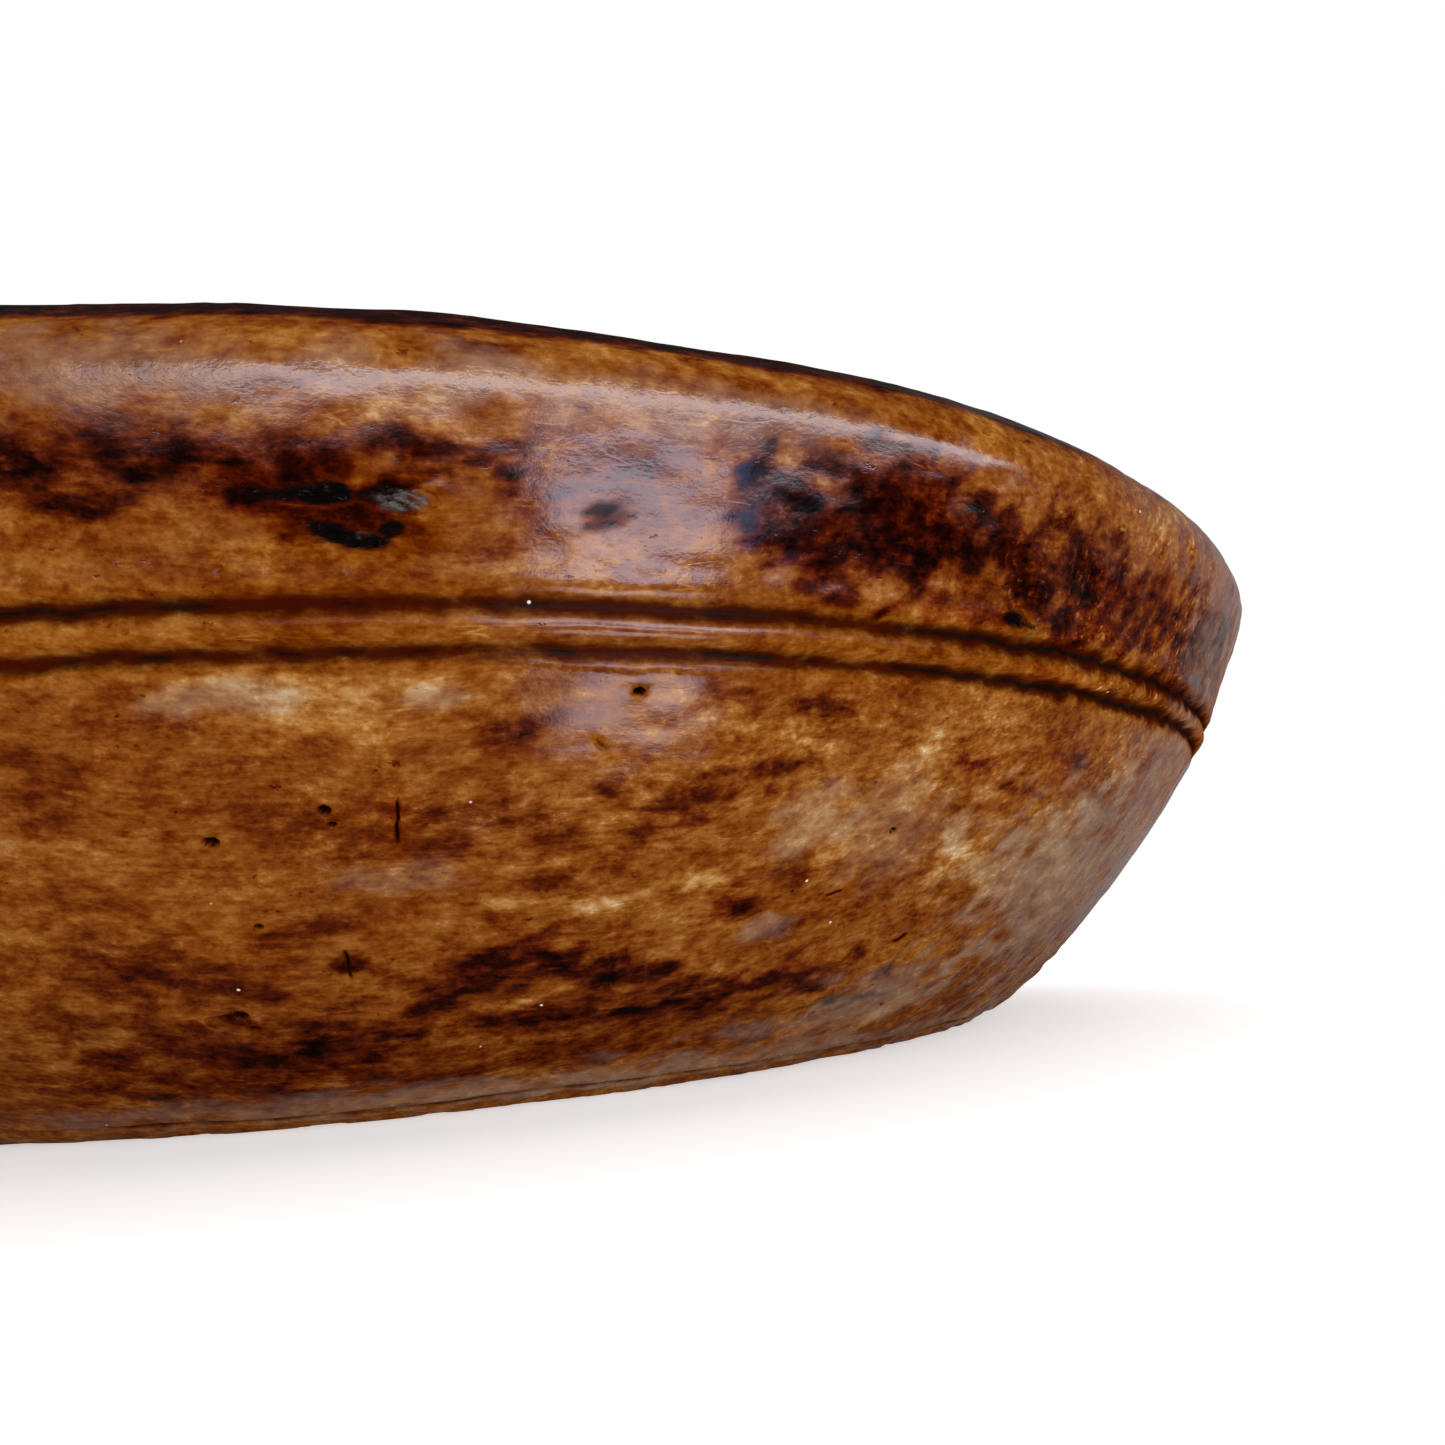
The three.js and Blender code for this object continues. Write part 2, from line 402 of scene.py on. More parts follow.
    def pockets(self, arc: np.ndarray, turn: np.ndarray) -> np.ndarray:
        """Depth of the pockets that the knots, bark and pitch lie in, in mm.

        Args:
            arc: Arc of each place, in mm.
            turn: Azimuth of each place, in degrees.

        Returns:
            One depth for each place.
        """
        depth = np.zeros_like(arc)
        for mark, outline, deep in ((self.knot, self.knot_outline, self.knot_pocket),
                                    (self.pitch, self.pitch_outline, self.pitch_pocket),
                                    (self.pin_knot, self.pin_outline, self.pin_pocket)):
            near = np.hypot(*self.local(arc, turn, mark)) < 12
            share = np.full_like(arc, 9.0)
            share[near] = self._inside(arc[near], turn[near], mark, outline)
            depth = np.maximum(depth, deep * ease(share, 0.90, 0.82))
        return depth

    def cuts(self, arc: np.ndarray, turn: np.ndarray, points: np.ndarray) -> np.ndarray:
        """Depth of the turned grooves, less the height of the beads beside them, in mm.

        Args:
            arc: Arc of each place, in mm.
            turn: Azimuth of each place, in degrees.
            points: Each place on the turned surface, in mm.

        Returns:
            One depth for each place.
        """
        right = ease(turn, 13, 26) * ease(turn, 90, 60)
        shake = 0.22 * self.ragged.at(points) * (0.35 + right)
        depth = np.zeros_like(arc)
        wear = 0.82 + 0.18 * self.slow.at(points) + 0.2 * right
        for below, wide in zip((0.0, self.groove_pitch), self.groove_widths):
            depth += self.groove_depth * wear * bell(arc - (self.groove_arc - below) - shake, wide)
        bead = self.groove_arc - self.groove_pitch / 2
        depth -= self.bead_height * bell(arc - bead, 1.35)
        depth -= 0.16 * bell(arc - self.groove_arc - 3.1, 1.3)
        depth -= 0.12 * bell(arc - self.groove_arc + self.groove_pitch + 2.9, 1.3)
        depth += self.foot_groove_depth * bell(arc - self.foot_groove_arc - 0.5 * shake, 0.62)
        return depth - 0.3 * bell(arc - self.foot_groove_arc - 2.6, 1.5)

    def wear(self, arc: np.ndarray, turn: np.ndarray, points: np.ndarray) -> np.ndarray:
        """Dents, tool rings, a chipped foot and a rubbed rim: height above the turned surface.

        Args:
            arc: Arc of each place, in mm.
            turn: Azimuth of each place, in degrees.
            points: Each place on the turned surface, in mm.

        Returns:
            One height for each place, in mm.
        """
        outside = ease(arc, -1, 2) * ease(arc, self.crest_arc + 4, self.crest_arc - 4)
        low_right = ease(turn, 14, 24) * ease(turn, 80, 60) * ease(arc, 45, 30) * ease(arc, 6, 12)
        height = 0.3 * self.warp.at(points) + 0.13 * self.dents.at(points)
        height += (0.05 + 0.16 * low_right) * self.rough.at(points)
        height += outside * (0.016 + 0.06 * low_right) * self.fine.at(points)
        rings = np.sin(arc * math.tau / 2.7 + 1.5 * self.slow.at(points))
        height += outside * 0.012 * rings
        foot = bell(arc - 0.9, 2.0)
        chip = ease(self.chips.at(points), 0.35, 0.85)
        height -= foot * (0.32 + 0.28 * self.edge.at(points) + 0.8 * chip)
        lip = bell(arc - self.crest_arc, 6)
        height -= lip * (0.1 + 0.07 * self.edge.at(points) + 0.12 * ease(self.rough.at(points), 0.5, 1))
        return height

    def holes(self, arc: np.ndarray, turn: np.ndarray) -> np.ndarray:
        """Depth of the beetle holes and of the drying checks, in mm.

        Args:
            arc: Arc of each place, in mm.
            turn: Azimuth of each place, in degrees.

        Returns:
            One depth for each place.
        """
        depth = np.zeros_like(arc)
        for hole in self.beetle_holes:
            across, up = self.local(arc, turn, hole)
            share = np.hypot(across / hole.across, up / hole.up)
            depth = np.maximum(depth, self.hole_depth * ease(share, 1.25, 0.7))
        for check in self.checks:
            across, up = self.local(arc, turn, check)
            long_way, short_way = (across, up) if check.across > check.up else (up, across)
            length, width = max(check.across, check.up), min(check.across, check.up)
            bent = short_way - 0.35 * width * np.sin(long_way * 1.7) - 0.02 * long_way
            ends = ease(np.abs(long_way), length, 0.35 * length)
            depth = np.maximum(depth, check.strength * ends * bell(bent, width * 1.3))
        return depth

    def halo(self, arc: np.ndarray, turn: np.ndarray) -> np.ndarray:
        """How near each place is to a hole or a check: 1 at its edge, 0 a mm or two away.

        Args:
            arc: Arc of each place, in mm.
            turn: Azimuth of each place, in degrees.

        Returns:
            One share for each place, from 0 to 1.
        """
        near = np.zeros_like(arc)
        for mark in (*self.beetle_holes, *self.checks):
            across, up = self.local(arc, turn, mark)
            share = np.hypot(across / (mark.across + 0.5), up / (mark.up + 0.5))
            near = np.maximum(near, ease(share, 1.6, 0.9))
        return near

    def surface(self, arc: np.ndarray, turn: np.ndarray) -> np.ndarray:
        """Points of the finished wall: the turned surface, less its cuts and plus its wear.

        Args:
            arc: Arc of each place, in mm.
            turn: Azimuth of each place, in degrees.

        Returns:
            One point for each place, in mm.
        """
        points = self.lifted(arc, turn, np.zeros_like(arc))
        lift = self.wear(arc, turn, points) - self.cuts(arc, turn, points)
        lift -= np.maximum(self.holes(arc, turn), self.pockets(arc, turn))
        axle = ease(np.interp(arc, self.arcs, self.line[:, 0]), 0.0, 30.0)
        return self.lifted(arc, turn, lift * axle)

    def skin_lift(self, arc: np.ndarray, turn: np.ndarray) -> np.ndarray:
        """Height of the worn surface over a filled pocket, for the piece that lies in it."""
        points = self.lifted(arc, turn, np.zeros_like(arc))
        return self.wear(arc, turn, points) - self.cuts(arc, turn, points)


# ---------------------------------------------------------------- paint on the wall


class PaintLayer(Enum):
    """Names of the attributes that the wall's paint is kept in, one number for each vertex."""

    # dark holds stains, and painted shade low on the belly and along the top of the rim.
    DARK = "dark"
    PALE = "pale"
    GRIME = "grime"
    FLECK = "fleck"
    AMBER = "amber"
    # grey holds dust, a painted highlight along the shoulder and a painted sheen on the right.
    GREY = "grey"
    INNER = "inner"
    RED = "red"
    CHAR = "char"
    FILM = "film"
    PITCH = "pitch"


@dataclass(frozen=True)
class Paint:
    """Where the wall is stained, bleached, greyed and grimed, with painted shade, highlight, sheen and
    glints among them, as listed marks.

    A mark's soft edge runs between two shares of its half sizes. The char and the pitch are
    crisper than the stains, so that a smaller part of the noise wanders their edges.
    """

    soft_edge = (1.35, 0.45)
    crisp_wander = 0.4
    # Dark marks. The three broad ones low on the belly, at (-9, 15), (-4, 10) and (8, 16), are painted
    # shade: they darken the belly towards the foot.
    dark = marks(
        (-9, 15, 26, 11, 0.42), (-10, 24, 14, 4, 0.25), (-9, 80, 26, 5, 0.3), (-4, 10, 62, 9, 0.34),
        (8, 16, 46, 6, 0.26), (3, 23, 22, 5, 0.2), (-6, 79.6, 26, 3.8, 0.42, -2),
        (15, 77.4, 20, 8.6, 0.72), (28, 76, 24, 9, 0.4), (5, 79, 18, 5, 0.22, -4), (42, 73, 26, 13, 0.5),
        (-2, 41, 28, 7, 0.14), (-4.6, 80.6, 5.5, 1.7, 0.95, 4), (-0.6, 81.6, 6, 1.5, 0.95, -9),
        (1.8, 79.2, 3.3, 0.8, 0.85, -12), (2.4, 81.8, 2.4, 0.9, 0.75), (-8.2, 79.2, 5.5, 1.7, 0.9, 8),
        (-12.5, 80, 6, 2.2, 0.8), (-1.2, 78.2, 4.6, 1.3, 0.7, 3), (-4.4, 77.6, 5, 1.1, 0.8),
        (4.9, 76.2, 3.2, 0.8, 0.85, 15), (6, 80.5, 3.5, 1.4, 0.5, -8), (-5.4, 75.9, 5.4, 1.1, 0.8, 3),
        (-9.5, 76, 5, 1.3, 0.6), (-2.7, 74.4, 7.4, 4.8, 0.5), (1.6, 71.4, 5, 1.2, 0.4),
        (2.6, 75.2, 3, 3.2, 0.35), (4.9, 74.6, 3.4, 0.7, 0.7, 20), (14.4, 77.6, 14.5, 7.4, 0.72, -3),
        (11.2, 77, 4.6, 6.6, 0.66), (9.9, 77.6, 3.4, 5.6, 0.9), (15.6, 73, 10, 3.6, 0.4, -4),
        (18.5, 79.6, 25, 4.2, 0.42), (25, 76.4, 20, 7, 0.3), (24, 75.5, 42, 9, 0.3),
        (9.8, 79, 4, 3.6, 0.6), (19.8, 79, 9, 4.8, 0.66, -4), (22.8, 75.4, 8.5, 5.4, 0.55),
        (27.6, 77.4, 9, 5.2, 0.5, -4), (25.2, 71, 5.5, 2.6, 0.6), (33, 76, 9, 5, 0.45),
        (31, 70.8, 8, 2.2, 0.7, -4), (39.5, 75, 9, 5, 0.55), (45, 79, 8, 4, 0.5),
        (36.6, 82.5, 5, 2, 0.45, -8), (1.4, 41, 8.6, 4.6, 0.42, 2), (3.2, 38.6, 5.5, 2.6, 0.32, 6),
        (5.6, 45, 3, 1.4, 0.5), (9.8, 43.6, 6.5, 3.8, 0.42, 24), (7.2, 38.4, 6, 3, 0.42, 30),
        (4.8, 34.2, 6.5, 2.2, 0.34, 8), (-1, 49.6, 3.5, 1.2, 0.4), (2.6, 52, 4, 2.2, 0.55, 12),
        (12.7, 28.8, 5.5, 2.6, 0.6, 26), (14.8, 33.6, 4, 3.6, 0.42, 50), (16.2, 26.4, 5, 1.6, 0.5, 20),
        (12.6, 47.8, 5, 1.6, 0.6, 8), (13.6, 55.4, 5, 1.4, 0.7, -6), (9.6, 56.6, 4, 1, 0.5, -4),
        (22.5, 48.6, 6, 2.2, 0.55, -5), (27, 45.6, 9, 1.5, 0.5, -6), (31, 50.6, 7, 1.6, 0.5, -4),
        (2.2, 24, 9, 3, 0.95, 12), (-0.2, 20.6, 8, 2, 0.9, 6), (5, 21.6, 7.5, 2, 0.8, 6),
        (8.6, 20.2, 9, 2, 0.9, 6), (12, 18.4, 9, 1.8, 0.9, 4), (15.5, 17.6, 9.5, 2.2, 0.95, 2),
        (10.8, 15, 12, 1.6, 0.85, 2), (18.6, 15.2, 8, 1.6, 0.8, -2), (21.3, 20.4, 3, 2, 0.7, 40),
        (17.6, 22.6, 4, 1.6, 0.65, 30), (24.6, 17.4, 3, 1.8, 0.6, 40), (23, 13, 9, 1.2, 0.65, -4),
        (-4.4, 25, 2.6, 2, 0.7, 10), (-9.2, 18.2, 3.2, 2, 0.8, -30), (-6, 16.4, 5, 0.9, 0.7, 4),
        (-8.6, 12.4, 6, 1.4, 0.75, 6), (-2.4, 14.6, 9, 1, 0.6, 4), (3.6, 15.4, 9, 1.3, 0.75, 4),
        (-3, 11.4, 8, 0.9, 0.5, 4), (4.4, 11.4, 7, 1, 0.6, 4), (-5.6, 29.6, 5, 2, 0.35, 10),
        (-13, 26, 9, 6, 0.4), (-8, 54, 3, 1.2, 0.4, 20), (-13.4, 47, 5, 5, 0.3),
        (1.6, 92.6, 4.2, 0.8, 0.55), (-6.4, 96.4, 3, 0.9, 0.45), (9.5, 95.4, 4, 0.7, 0.45, -3),
        (-34, 78, 22, 5, 0.7), (-55, 40, 18, 6, 0.6, 8), (72, 76, 30, 5, 0.7), (88, 30, 22, 6, 0.7, 4),
        (130, 70, 30, 7, 0.7), (170, 24, 30, 5, 0.8, 5), (-160, 60, 18, 9, 0.7),
        (-118, 22, 26, 5, 0.7, 4), (-96, 74, 24, 5, 0.7))
    pale = marks(
        (29, 37, 24, 13, 0.42), (22, 50, 20, 9, 0.25), (-5, 54.5, 22, 4, 0.12), (12, 42, 34, 14, 0.3),
        (0, 55.2, 6.5, 1.7, 0.5), (-3.1, 56.3, 7, 2, 0.42, 5), (-7.4, 55.6, 8, 2.4, 0.42),
        (-3.8, 52.8, 8, 2.6, 0.35), (15.3, 40.6, 5.5, 3.6, 0.6, 40), (25.2, 34.7, 9, 4.2, 0.8, 6),
        (29.8, 31.4, 9, 4.6, 0.75), (19.7, 51.5, 5, 3.2, 0.6), (25.6, 45.3, 6.5, 2, 0.5),
        (6.9, 30.8, 8, 1.2, 0.4, 8), (2.9, 17.9, 8.5, 0.7, 0.7, 14), (4.2, 18.8, 4.5, 0.7, 0.5, 24),
        (16.8, 36.8, 5, 3.4, 0.55, 40), (10.6, 33.6, 5.5, 2.2, 0.5, 30), (1.8, 31.6, 5.5, 1.6, 0.6),
        (-1.2, 36, 4.5, 2, 0.4, 10), (-8, 36, 6, 2.4, 0.4, 10), (13, 51.4, 7, 2.6, 0.5, -14),
        (9.6, 52.4, 5, 1.6, 0.5, -8), (34, 40, 10, 6, 0.6), (39, 30, 11, 7, 0.6), (36, 52, 9, 4, 0.45),
        (-12, 40, 6, 5, 0.25), (20.8, 44.6, 4, 2.4, 0.5, 30), (-3.6, 92.4, 14, 2.2, 0.35),
        (8, 93.6, 18, 2, 0.4), (-6, 70.4, 7, 2.4, 0.4), (4, 69.6, 12, 2.6, 0.45), (20, 92, 12, 4, 0.35),
        (32, 90, 12, 5, 0.4), (-1.4, 84.8, 12, 2, 0.35, -4), (29, 9, 12, 3, 0.45),
        (0.2, 44.2, 1, 1.2, 0.5), (-5.2, 57.6, 9, 0.9, 0.5), (42, 62, 8, 3, 0.4), (60, 40, 30, 9, 0.4),
        (110, 45, 34, 8, 0.45), (-60, 55, 24, 6, 0.45, 4), (-130, 50, 40, 8, 0.4), (160, 50, 26, 8, 0.4),
        (-90, 48, 18, 7, 0.4))
    amber = marks(
        (-4, 95, 30, 5, 0.9), (8, 95, 34, 5, 0.9), (20, 94, 26, 6, 0.8), (-20, 95, 40, 5, 0.8),
        (4, 50, 9, 4, 0.6), (-4, 51.6, 9, 2.6, 0.6), (11, 49.6, 7, 3.4, 0.6), (17, 55.6, 7, 2.4, 0.7),
        (-9.6, 47, 7, 6, 0.5), (-8.6, 29, 8, 5, 0.7), (-3, 67.6, 12, 1.4, 0.6), (-2.4, 21, 6, 3, 0.4),
        (10, 24.6, 7, 1.6, 0.5, 20), (30, 94, 12, 5, 0.5), (14, 57, 20, 1.4, 0.5), (-30, 50, 22, 8, 0.5),
        (100, 94, 60, 5, 0.6), (180, 94, 90, 5, 0.6))
    red = marks(
        (14.6, 77, 16, 8, 0.8), (19, 68.4, 14, 1.6, 0.8), (-4.5, 78, 9, 4, 0.6), (3, 77, 5, 4, 0.5),
        (22.5, 48.6, 7, 3.4, 0.8), (30, 49, 8, 5, 0.6), (2.2, 24, 9, 3.4, 0.6, 10),
        (12.7, 28.8, 6, 3, 0.6, 30), (18.4, 20, 6, 3, 0.5), (28, 72, 12, 8, 0.5),
        (-1.9, 42, 1.6, 5, 0.6), (41, 68, 10, 6, 0.6), (-2.6, 29.6, 6, 1.6, 0.5, 8),
        (26.6, 62, 12, 2, 0.6), (90, 74, 40, 6, 0.5))
    # Grey marks. The first two, along the shoulder, are painted highlight: they whiten the band that
    # mirrors the long window. Those from azimuth 32 to 44 are painted sheen, the grey haze of the wax seen
    # edge on.
    grey = marks(
        (-8, 88.6, 44, 4.2, 0.4), (6, 88, 30, 3.6, 0.3), (34, 34, 26, 16, 0.55), (20, 40, 12, 9, 0.3),
        (24, 10, 24, 5, 0.5), (40, 30, 26, 24, 0.75), (44, 66, 16, 22, 0.6), (26, 14, 16, 7, 0.6),
        (32, 36, 10, 7, 0.4), (15.3, 40, 7, 5, 0.5, 40), (-7.4, 56, 7, 2, 0.5), (-2, 35, 8, 2.4, 0.3),
        (14.6, 26, 5, 2, 0.6, 14), (-0.6, 55.4, 4, 1.2, 0.5), (23.6, 12.6, 10, 1.8, 0.7),
        (-3, 4, 60, 4.5, 0.5), (20, 4, 60, 4.5, 0.6))
    fleck = marks(
        (23, 73, 9, 7, 0.7), (27, 74, 13, 10, 1), (38, 74, 14, 12, 1), (26, 68.5, 14, 2.4, 1),
        (34, 63, 16, 5, 0.9), (31, 88, 14, 6, 0.7), (22, 56, 12, 5, 0.6), (36, 50, 14, 8, 0.7),
        (8, 47, 60, 16, 0.25), (8, 69.4, 16, 2, 0.5), (75, 60, 70, 40, 0.6), (-80, 60, 90, 40, 0.5))

    char = marks(
        (-3.6, 76.5, 3.6, 1.35, 1), (-3.1, 76.6, 2.2, 1.2, 1), (-4.8, 76.2, 3.1, 0.8, 0.85),
        (-2.1, 76.6, 2.6, 0.9, 0.7), (-3.3, 72.6, 2.6, 1.35, 1, -18), (-2.4, 71.6, 3.6, 1.15, 1, -3),
        (-1.7, 72.7, 2.2, 1, 0.9, 30), (-2.7, 74.2, 1.2, 0.5, 0.4, 10), (22.4, 68.8, 2.9, 1.7, 1),
        (22, 68.9, 1.4, 0.9, 1), (23.3, 68.2, 2.2, 0.7, 0.7, -10))
    # The last two pitch marks, tiny, are painted glints: one on the black bar, one on the pitch.
    pitch = marks(
        (-1, 75.9, 2.9, 1.4, 0.9, 4), (-1.7, 76.4, 2.2, 0.7, 0.35), (-2.4, 72.4, 1.4, 0.7, 0.4, 20),
        (-3.3, 76.9, 0.6, 0.5, 0.45), (-1.36, 75.6, 0.7, 0.7, 0.5))
    film = marks(
        (-3.4, 75.4, 15, 6.5, 0.92), (-1.7, 74.6, 10, 6.5, 0.97), (-12, 76, 20, 7, 0.6),
        (17, 76.5, 24, 8, 0.8), (15.5, 80, 10, 4.5, 0.85), (34, 74, 34, 12, 0.8), (-5, 10, 60, 10, 0.5),
        (48, 66, 30, 24, 0.6), (4.9, 76.2, 3.4, 1, 0.8, 15), (4.9, 74.6, 3.6, 1, 0.75, 20))

    def laid(self, wall: Wall, arc: np.ndarray, turn: np.ndarray) -> dict[PaintLayer, np.ndarray]:
        """Paint at each place on the wall.

        Each mark is a soft oval whose edge wanders: its strength times a smooth step of the
        distance from its middle, measured in half sizes and pushed about by a noise.

        Args:
            wall: The wall's surface.
            arc: Arc of each place.
            turn: Azimuth of each place, in degrees.

        Returns:
            One array from 0 to 1 for each paint layer.
        """
        points = wall.lifted(arc, turn, np.zeros_like(arc))
        wander = 0.34 * Ripple(31, 7, (1.8, 1, 1)).at(points)
        wander = wander + 0.2 * Ripple(32, 3.2, (1.8, 1, 1), 30).at(points)
        outside = ease(arc, -1, 1) * ease(arc, wall.crest_arc + 3, wall.crest_arc - 1)
        paint = {}
        for paint_layer, spots in ((PaintLayer.DARK, self.dark), (PaintLayer.PALE, self.pale), (PaintLayer.AMBER, self.amber),
                             (PaintLayer.RED, self.red), (PaintLayer.GREY, self.grey), (PaintLayer.FLECK, self.fleck),
                             (PaintLayer.CHAR, self.char), (PaintLayer.FILM, self.film), (PaintLayer.PITCH, self.pitch)):
            layer = np.zeros_like(arc)
            push = wander * (self.crisp_wander if paint_layer in (PaintLayer.CHAR, PaintLayer.PITCH) else 1.0)
            for mark in spots:
                across, up = wall.local(arc, turn, mark)
                share = np.hypot(across / mark.across, up / mark.up) + push
                layer = 1 - (1 - layer) * (1 - mark.strength * ease(share, *self.soft_edge))
            paint[paint_layer] = layer * outside
        paint[PaintLayer.GRIME] = self._grime(wall, arc, turn, points)
        paint[PaintLayer.FILM] = np.maximum(paint[PaintLayer.FILM], self._dirt_film(wall, arc, turn))
        paint[PaintLayer.INNER] = ease(arc, wall.crest_arc + 2, wall.crest_arc + 7)
        # Painted shade along the top of the rim goes into the dark layer.
        paint[PaintLayer.DARK] = np.maximum(paint[PaintLayer.DARK], self._rim_top_shade(wall, arc, points))
        return paint

    @staticmethod
    def _dirt_film(wall: Wall, arc: np.ndarray, turn: np.ndarray) -> np.ndarray:
        """Thin film that kills the shine: on the bead, unless rubbed off, and round holes and knots.

        Args:
            wall: The wall's surface.
            arc: Arc of each place, in mm.
            turn: Azimuth of each place, in degrees.

        Returns:
            One share for each place, from 0 to 1.
        """
        rubbed = ease(turn, 0.0, 2.6) * ease(turn, 12.5, 9.0)
        bead = ease(np.abs(arc - wall.groove_arc + 0.5 * wall.groove_pitch), 7.0, 4.4)
        film = np.maximum(0.92 * bead * (1 - 0.85 * rubbed), 0.85 * wall.halo(arc, turn))
        for mark in (wall.knot, wall.pitch, wall.pin_knot):
            across, up = wall.local(arc, turn, mark)
            film = np.maximum(film, 0.98 * ease(np.hypot(across / mark.across, up / mark.up), 1.9, 1.3))
        return film

    @staticmethod
    def _grime(wall: Wall, arc: np.ndarray, turn: np.ndarray, points: np.ndarray) -> np.ndarray:
        """Black wax and dirt that has settled in the grooves, the holes and the checks.

        Args:
            wall: The wall's surface.
            arc: Arc of each place, in mm.
            turn: Azimuth of each place, in degrees.
            points: Each place on the turned surface, in mm.

        Returns:
            One share for each place, from 0 to 1.
        """
        drift = wall.slow.at(points)
        spots = ease(Ripple(33, 5, (1.5, 1, 1)).at(points), -0.5, 0.5)
        right = ease(turn, 16, 24)
        grime = np.zeros_like(arc)
        shake = 0.3 * wall.ragged.at(points) * (0.5 + right)
        upper, lower = wall.groove_arc, wall.groove_arc - wall.groove_pitch
        for middle, width, least in ((upper, 1.4, 0.9), (lower, 1.25, 0.84)):
            strength = np.clip(least + 0.2 * spots + 0.1 * drift + 0.2 * right, 0, 1)
            grime = np.maximum(grime, strength * bell(arc - middle + 0.25 - shake, width + 0.5 * right))
        strength = np.clip(0.82 + 0.2 * drift, 0, 1)
        grime = np.maximum(grime, strength * bell(arc - wall.foot_groove_arc + 0.1 - 0.5 * shake, 0.72))
        grime = np.maximum(grime, ease(wall.holes(arc, turn), 0.12, 0.7))
        return np.clip(grime, 0, 1)

    @staticmethod
    def _rim_top_shade(wall: Wall, arc: np.ndarray, points: np.ndarray) -> np.ndarray:
        """Painted shade: a dark band over the top of the rim, from just outside the crest over to the
        inside.

        Args:
            wall: The wall's surface.
            arc: Arc of each place, in mm.
            points: Each place on the turned surface, in mm.

        Returns:
            One share for each place, from 0 to 1.
        """
        top = arc - wall.crest_arc + 0.7 * wall.edge.at(points) + 0.4 * wall.rough.at(points)
        return 0.95 * ease(top, -11.6, -10.0) * ease(top, 16, 6)


# ---------------------------------------------------------------- meshes


def mesh_object(name: str, points: np.ndarray, faces: list) -> bpy.types.Object:
    """A smooth-shaded mesh object at the origin.

    Args:
        name: Name of the piece.
        points: Vertices, in mm.
        faces: Vertex numbers of each face, as one list.

    Returns:
        The object, linked into the scene.
    """
    mesh = bpy.data.meshes.new(name)
    mesh.from_pydata((points * MM).tolist(), [], faces)
    mesh.shade_smooth()
    mesh.update()
    piece = bpy.data.objects.new(name, mesh)
    bpy.context.scene.collection.objects.link(piece)
    return piece


def grid_faces(rows: int, columns: int, first: int = 0) -> np.ndarray:
    """Quads of a grid whose columns close on themselves, counted row by row from a first vertex.

    Args:
        rows: How many rows the grid has.
        columns: How many columns the grid has.
        first: Number of the first vertex.

    Returns:
        Four vertex numbers for each quad.
    """
    row, column = np.meshgrid(np.arange(rows - 1), np.arange(columns), indexing="ij")
    after = (column + 1) % columns
    corners = (row * columns + column, row * columns + after,
               (row + 1) * columns + after, (row + 1) * columns + column)
    return first + np.stack(corners, axis=-1).reshape(-1, 4)


def pole_faces(pole: int, first: int, columns: int, below: bool) -> np.ndarray:
    """Triangles between a pole's vertex and the closed row of vertices next to it.

    Args:
        pole: Number of the pole's vertex.
        first: Number of the row's first vertex.
        columns: How many vertices the row has.
        below: Whether the pole is at the underside, which turns the faces round.

    Returns:
        Three vertex numbers for each triangle.
    """
    column = np.arange(columns)
    after = (column + 1) % columns
    ring = (first + after, first + column) if below else (first + column, first + after)
    return np.stack([np.full(columns, pole), *ring], axis=-1)


def write_attribute(mesh: bpy.types.Mesh, name: str, values: np.ndarray) -> None:
    """Keeps one number for each vertex under a name that the finishes read."""
    layer = mesh.attributes.get(name) or mesh.attributes.new(name, "FLOAT", "POINT")
    layer.data.foreach_set("value", values.astype(np.float32))


def read_attribute(mesh: bpy.types.Mesh, name: str) -> np.ndarray:
    """The numbers kept for the vertices under a name.

    Args:
        mesh: The mesh.
        name: Name of the attribute.

    Returns:
        One number for each vertex.
    """
    values = np.zeros(len(mesh.vertices), np.float32)
    mesh.attributes[name].data.foreach_get("value", values)
    return values.astype(float)


